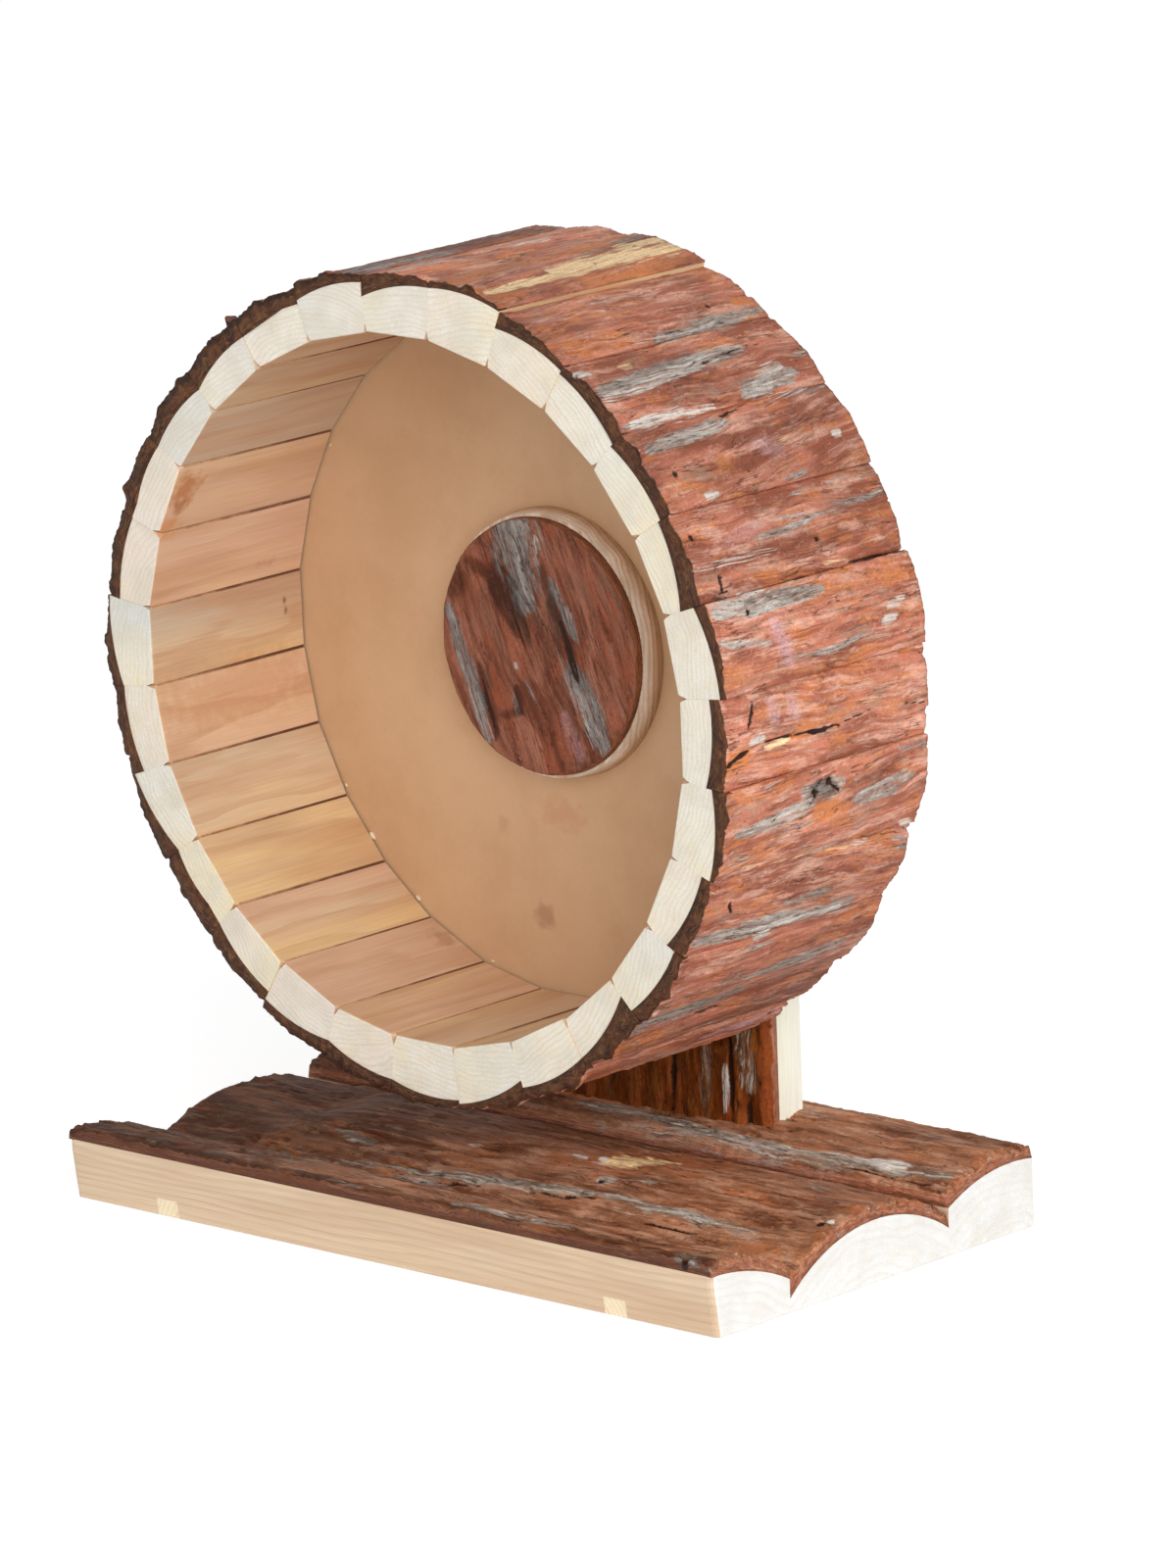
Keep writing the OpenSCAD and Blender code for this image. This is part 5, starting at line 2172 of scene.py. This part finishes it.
COVER_MARKS = marks_of({
    K.GREY: (
        (-12.0, 48, -4.5, 13, 8.0), (-35.0, 8, -20.5, -30, 2.8), (5.0, 21, 15.0, 4, 1.9, 0.9),
        (13.0, -3, 26.0, -29, 3.8),
    ),
    K.PALE: (
        (-8.0, 33, -5.0, 22, 1.2, 0.6), (0.2, 33, 1.0, 28, 1.0), (-33.5, 6, -24.5, -12, 0.9, 0.6),
        (7.0, 2, 20.5, -27, 1.2, 0.7), (-9.3, -6, -9.0, -7, 0.9),
    ),
    K.ORANGE: ((-25.0, 27, -19.0, 19, 3.0, 0.6), (27.0, 12, 33.0, -6, 4.4, 0.7)),
    # The wide dark stretch from (-16, 22) to (-5, 2) is painted shadow beside the cracks.
    K.DARK: (
        (-27.0, 23, -17.5, 19, 1.7), (-17.5, 19, -11.0, 10, 2.0), (-13.0, 22, -6.0, 6, 1.2),
        (-23.5, -8, -18.0, -28, 2.0), (2.0, 24, 8.5, 8, 1.6), (-16.0, 22, -5.0, 2, 4.4, 0.9),
        (6.0, 14, 17.0, -10, 3.4, 0.8), (-15.0, 17, -8.0, 2, 1.2), (-11.5, 19, -4.0, 3, 1.2),
        (-19.0, 20, -13.0, 8, 1.2), (-34.0, 12, -28.0, 18, 3.0, 0.6), (16.0, 22, 28.0, 6, 1.2, 0.4),
        (-9.6, -13, -8.0, -20, 1.3), (-8.0, -20, -15.5, -22, 1.2), (3.0, -24, 7.5, -36, 1.2),
        (17.0, 14, 19.5, 2, 1.2, 0.5), (22.0, -1, 25.5, -14, 1.2, 0.5),
        (21.0, 22, 30.0, -18, 9.0, -0.45),
    ),
    K.CRACK: (
        (-11.0, 10, -5.5, -1, 1.0, 0.75), (-23.0, -12, -18.4, -28, 1.1, 0.8),
        (8.5, 8, 15.5, -8, 1.6, 0.9), (10.0, 1, 15.0, -9, 1.0, 0.8),
    ),
    K.LILAC: ((9.0, -19, 15.5, -31, 2.4, 0.3),),
})  # fmt: skip


@dataclass
class HubCover:
    """The round cover over the hub: a slice of pine with its bark on the face."""

    face_y: float = 5.5
    bark: float = 2.5
    rise: float = 2.5
    radius: float = 37.7
    taper: float = 1.3
    lift_share: float = 0.8
    grain_turn: float = 22.0
    pith: Triple = (8.0, -400.0, -55.0)
    tint: Triple = (0.35, 0.4, 0.0)

    def build(self) -> None:
        """Makes the cover's wood and bark."""
        middle_z = AXLE_Z + self.rise
        back = self.face_y + self.bark - 0.2

        def narrowed(x: float, y: float, z: float) -> Vector:
            """Draws a point of the cover to its middle, the more the nearer it is to the face."""
            share = 1 - self.taper / self.radius * (PANEL_Y - y) / (PANEL_Y - self.face_y)
            return Vector((x * share, y, middle_z + z * share))

        def settle(point: Vector) -> Vector:
            """Moves a point in the bark back to the wood, which narrows towards its face."""
            return narrowed(point.x, max(point.y, back), point.z - middle_z)

        def in_log(point: Vector) -> Vector:
            """Turns a point into its place in the cover's log, whose grain runs upwards."""
            x, z, y = self.pith
            return Vector((point.x - x, point.z - middle_z - z, point.y - back - y))

        def seat(u: float, v: float, lift: float) -> Vector:
            """Puts a point on the cover's bark."""
            return narrowed(u, self.face_y - lift * self.lift_share, v)

        def under(u: float, v: float) -> Vector:
            """Puts a point on the cover's wood."""
            return narrowed(u, back + 0.1, v)

        bm = wood_from_node("hub_cover", settle, 0)
        for face in bm.faces:
            face.material_index = 0
            face.smooth = abs(face.normal.y) < 0.5
        write_log(bm, in_log, lambda _: self.tint)
        new_piece("hub_cover_wood", bm, ("cover_side",), "wheel", ("hub_cover",))
        relief = TurnedField(
            seed=33.3, flake_lift=0.3, rust=0.35, tone=0.25, flake_across=8.0, flake_along=40.0,
            crack_depth=0.9, crack_share=0.2, fibre_lift=0.1, lump_lift=0.2, greyness=0.1,
            crack_across=9.0, marks=COVER_MARKS, turn=math.radians(self.grain_turn),
        )  # fmt: skip
        round_sheet = (-self.radius, self.radius)
        sheet = CoverSheet(
            "hub_cover_bark", round_sheet, round_sheet, relief, seat, under,
            ("cover_bark", "cover_bark_end"), cell=0.5, dark_rim=0.0,
        )  # fmt: skip
        sheet.build("wheel", "cover_bark", "hub_cover")


@dataclass
class Hardware:
    """The axle, the bearings and the block, which keep their CAD shapes."""

    zinc: Tuple[str, ...] = (
        "axle_bolt", "rear_washer", "jam_nut", "spacer", "front_washer", "lock_nut",
        "block_screws",
    )  # fmt: skip
    polished: Tuple[str, ...] = (
        "rear_inner_ring", "front_inner_ring", "rear_outer_ring", "front_outer_ring",
        "rear_balls", "front_balls",
    )  # fmt: skip
    pressed: Tuple[str, ...] = (
        "rear_shields", "front_shields", "rear_ball_cage", "front_ball_cage",
    )  # fmt: skip

    def build(self) -> None:
        """Dresses every piece of the hardware."""
        dress(self.zinc, "zinc_steel")
        dress(self.polished, "bearing_steel")
        dress(self.pressed, "shield_steel")
        dress(("lock_nut_ring",), "nylon_ring")
        dress(("hub_block",), "block_wood")


# Studio


class Lamp(NamedTuple):
    """A soft square lamp. Its place and side are in metres, its power in watts."""

    name: str
    place: Triple
    side: float
    power: float


@dataclass
class Studio:
    """A pale floor and plain soft light. The sizes of the studio are in metres."""

    floor_size: float = 16.0
    floor_z: float = -0.0002
    floor_grey: float = 0.86
    floor_lift: float = 0.50
    fill: float = 0.53
    target: Triple = (0.0, 0.0, 0.13)
    lamps: Tuple[Lamp, ...] = (
        Lamp("key_lamp", (2.15, -1.45, 1.1), 2.0, 57.0),
        Lamp("front_lamp", (-0.9, -2.4, 1.5), 1.6, 6.0),
    )

    def _world(self) -> None:
        """Makes the even light from all round. The camera, metal and glass see it as white."""
        world = bpy.data.worlds.new("even_light")
        bpy.context.scene.world = world
        world.use_nodes = True
        world.node_tree.nodes.clear()
        g = Graph(world.node_tree)
        strength = g.sum("MULTIPLY_ADD", g.backdrop(), 1.0 - self.fill, self.fill)
        light = g.add("Background", {"Color": WHITE, "Strength": strength})
        g.add("OutputWorld", {"Surface": light.outputs[0]})

    def _floor_feeds(self, g: Graph) -> Feeds:
        """Works out the shader's inputs: lifted to white for the camera, but with its shadow.

        Args:
            g: The material's graph.

        Returns:
            The inputs by name.
        """
        return {
            "Base Color": (self.floor_grey, self.floor_grey, self.floor_grey, 1.0),
            "Roughness": 0.9,
            "Specular IOR Level": 0.0,
            "Emission Color": WHITE,
            "Emission Strength": g.sum("MULTIPLY", g.backdrop(), self.floor_lift),
        }

    def _floor(self) -> None:
        """Makes the floor."""
        bm = bmesh.new()
        bmesh.ops.create_grid(bm, x_segments=1, y_segments=1, size=self.floor_size / 2)
        bmesh.ops.translate(bm, vec=(0, 0, self.floor_z), verts=bm.verts)
        mesh = bpy.data.meshes.new("floor")
        bm.to_mesh(mesh)
        bm.free()
        mesh.materials.append(plain_material("pale_floor", self._floor_feeds))
        floor = bpy.data.objects.new("floor", mesh)
        bpy.context.scene.collection.objects.link(floor)

    def _light(self, lamp: Lamp) -> None:
        """Adds a lamp that faces the wheel.

        Args:
            lamp: The lamp.
        """
        light = bpy.data.lights.new(lamp.name, "AREA")
        light.size, light.energy = lamp.side, lamp.power
        item = bpy.data.objects.new(lamp.name, light)
        item.location = lamp.place
        toward = Vector(self.target) - Vector(lamp.place)
        item.rotation_euler = toward.to_track_quat("-Z", "Y").to_euler()
        bpy.context.scene.collection.objects.link(item)

    def build(self) -> None:
        """Makes the world, the floor and the lamps."""
        self._world()
        self._floor()
        for lamp in self.lamps:
            self._light(lamp)


@dataclass
class PhotoCamera:
    """The camera at the photograph's place, fitted to the drum's joints and the base's corners.

    The focal length is in pixels of the photograph's 1600 rows.
    """

    centre: Triple = (1781.16, -1915.55, 746.63)
    right: Triple = (0.74187, 0.66955, -0.03662)
    up: Triple = (-0.12899, 0.19609, 0.97206)
    focal: float = 9838.0
    frame_height: int = 1600
    sensor: float = 36.0
    clip: Pair = (0.05, 40.0)

    def build(self) -> None:
        """Makes the camera and gives it to the scene."""
        lens = bpy.data.cameras.new("photo_camera")
        lens.sensor_fit = "AUTO"
        lens.sensor_width = self.sensor
        lens.lens = self.focal / self.frame_height * self.sensor
        lens.clip_start, lens.clip_end = self.clip
        item = bpy.data.objects.new("photo_camera", lens)
        right = Vector(self.right).normalized()
        back = right.cross(Vector(self.up)).normalized()
        turn = Matrix((right, back.cross(right), back)).transposed().to_4x4()
        item.matrix_world = Matrix.Translation(Vector(self.centre) * MM) @ turn
        bpy.context.scene.collection.objects.link(item)
        bpy.context.scene.camera = item


def main() -> None:
    """Builds the wheel, its studio and its camera."""
    logging.basicConfig(level=logging.INFO, format="%(name)s: %(message)s")
    bpy.context.scene.view_settings.view_transform = "Standard"
    PhotoCamera().build()
    Studio().build()
    for part in (Base(), Post(), Drum(), HubCover(), Hardware()):
        LOG.info("building %s", type(part).__name__)
        part.build()


if __name__ == "__main__":
    main()
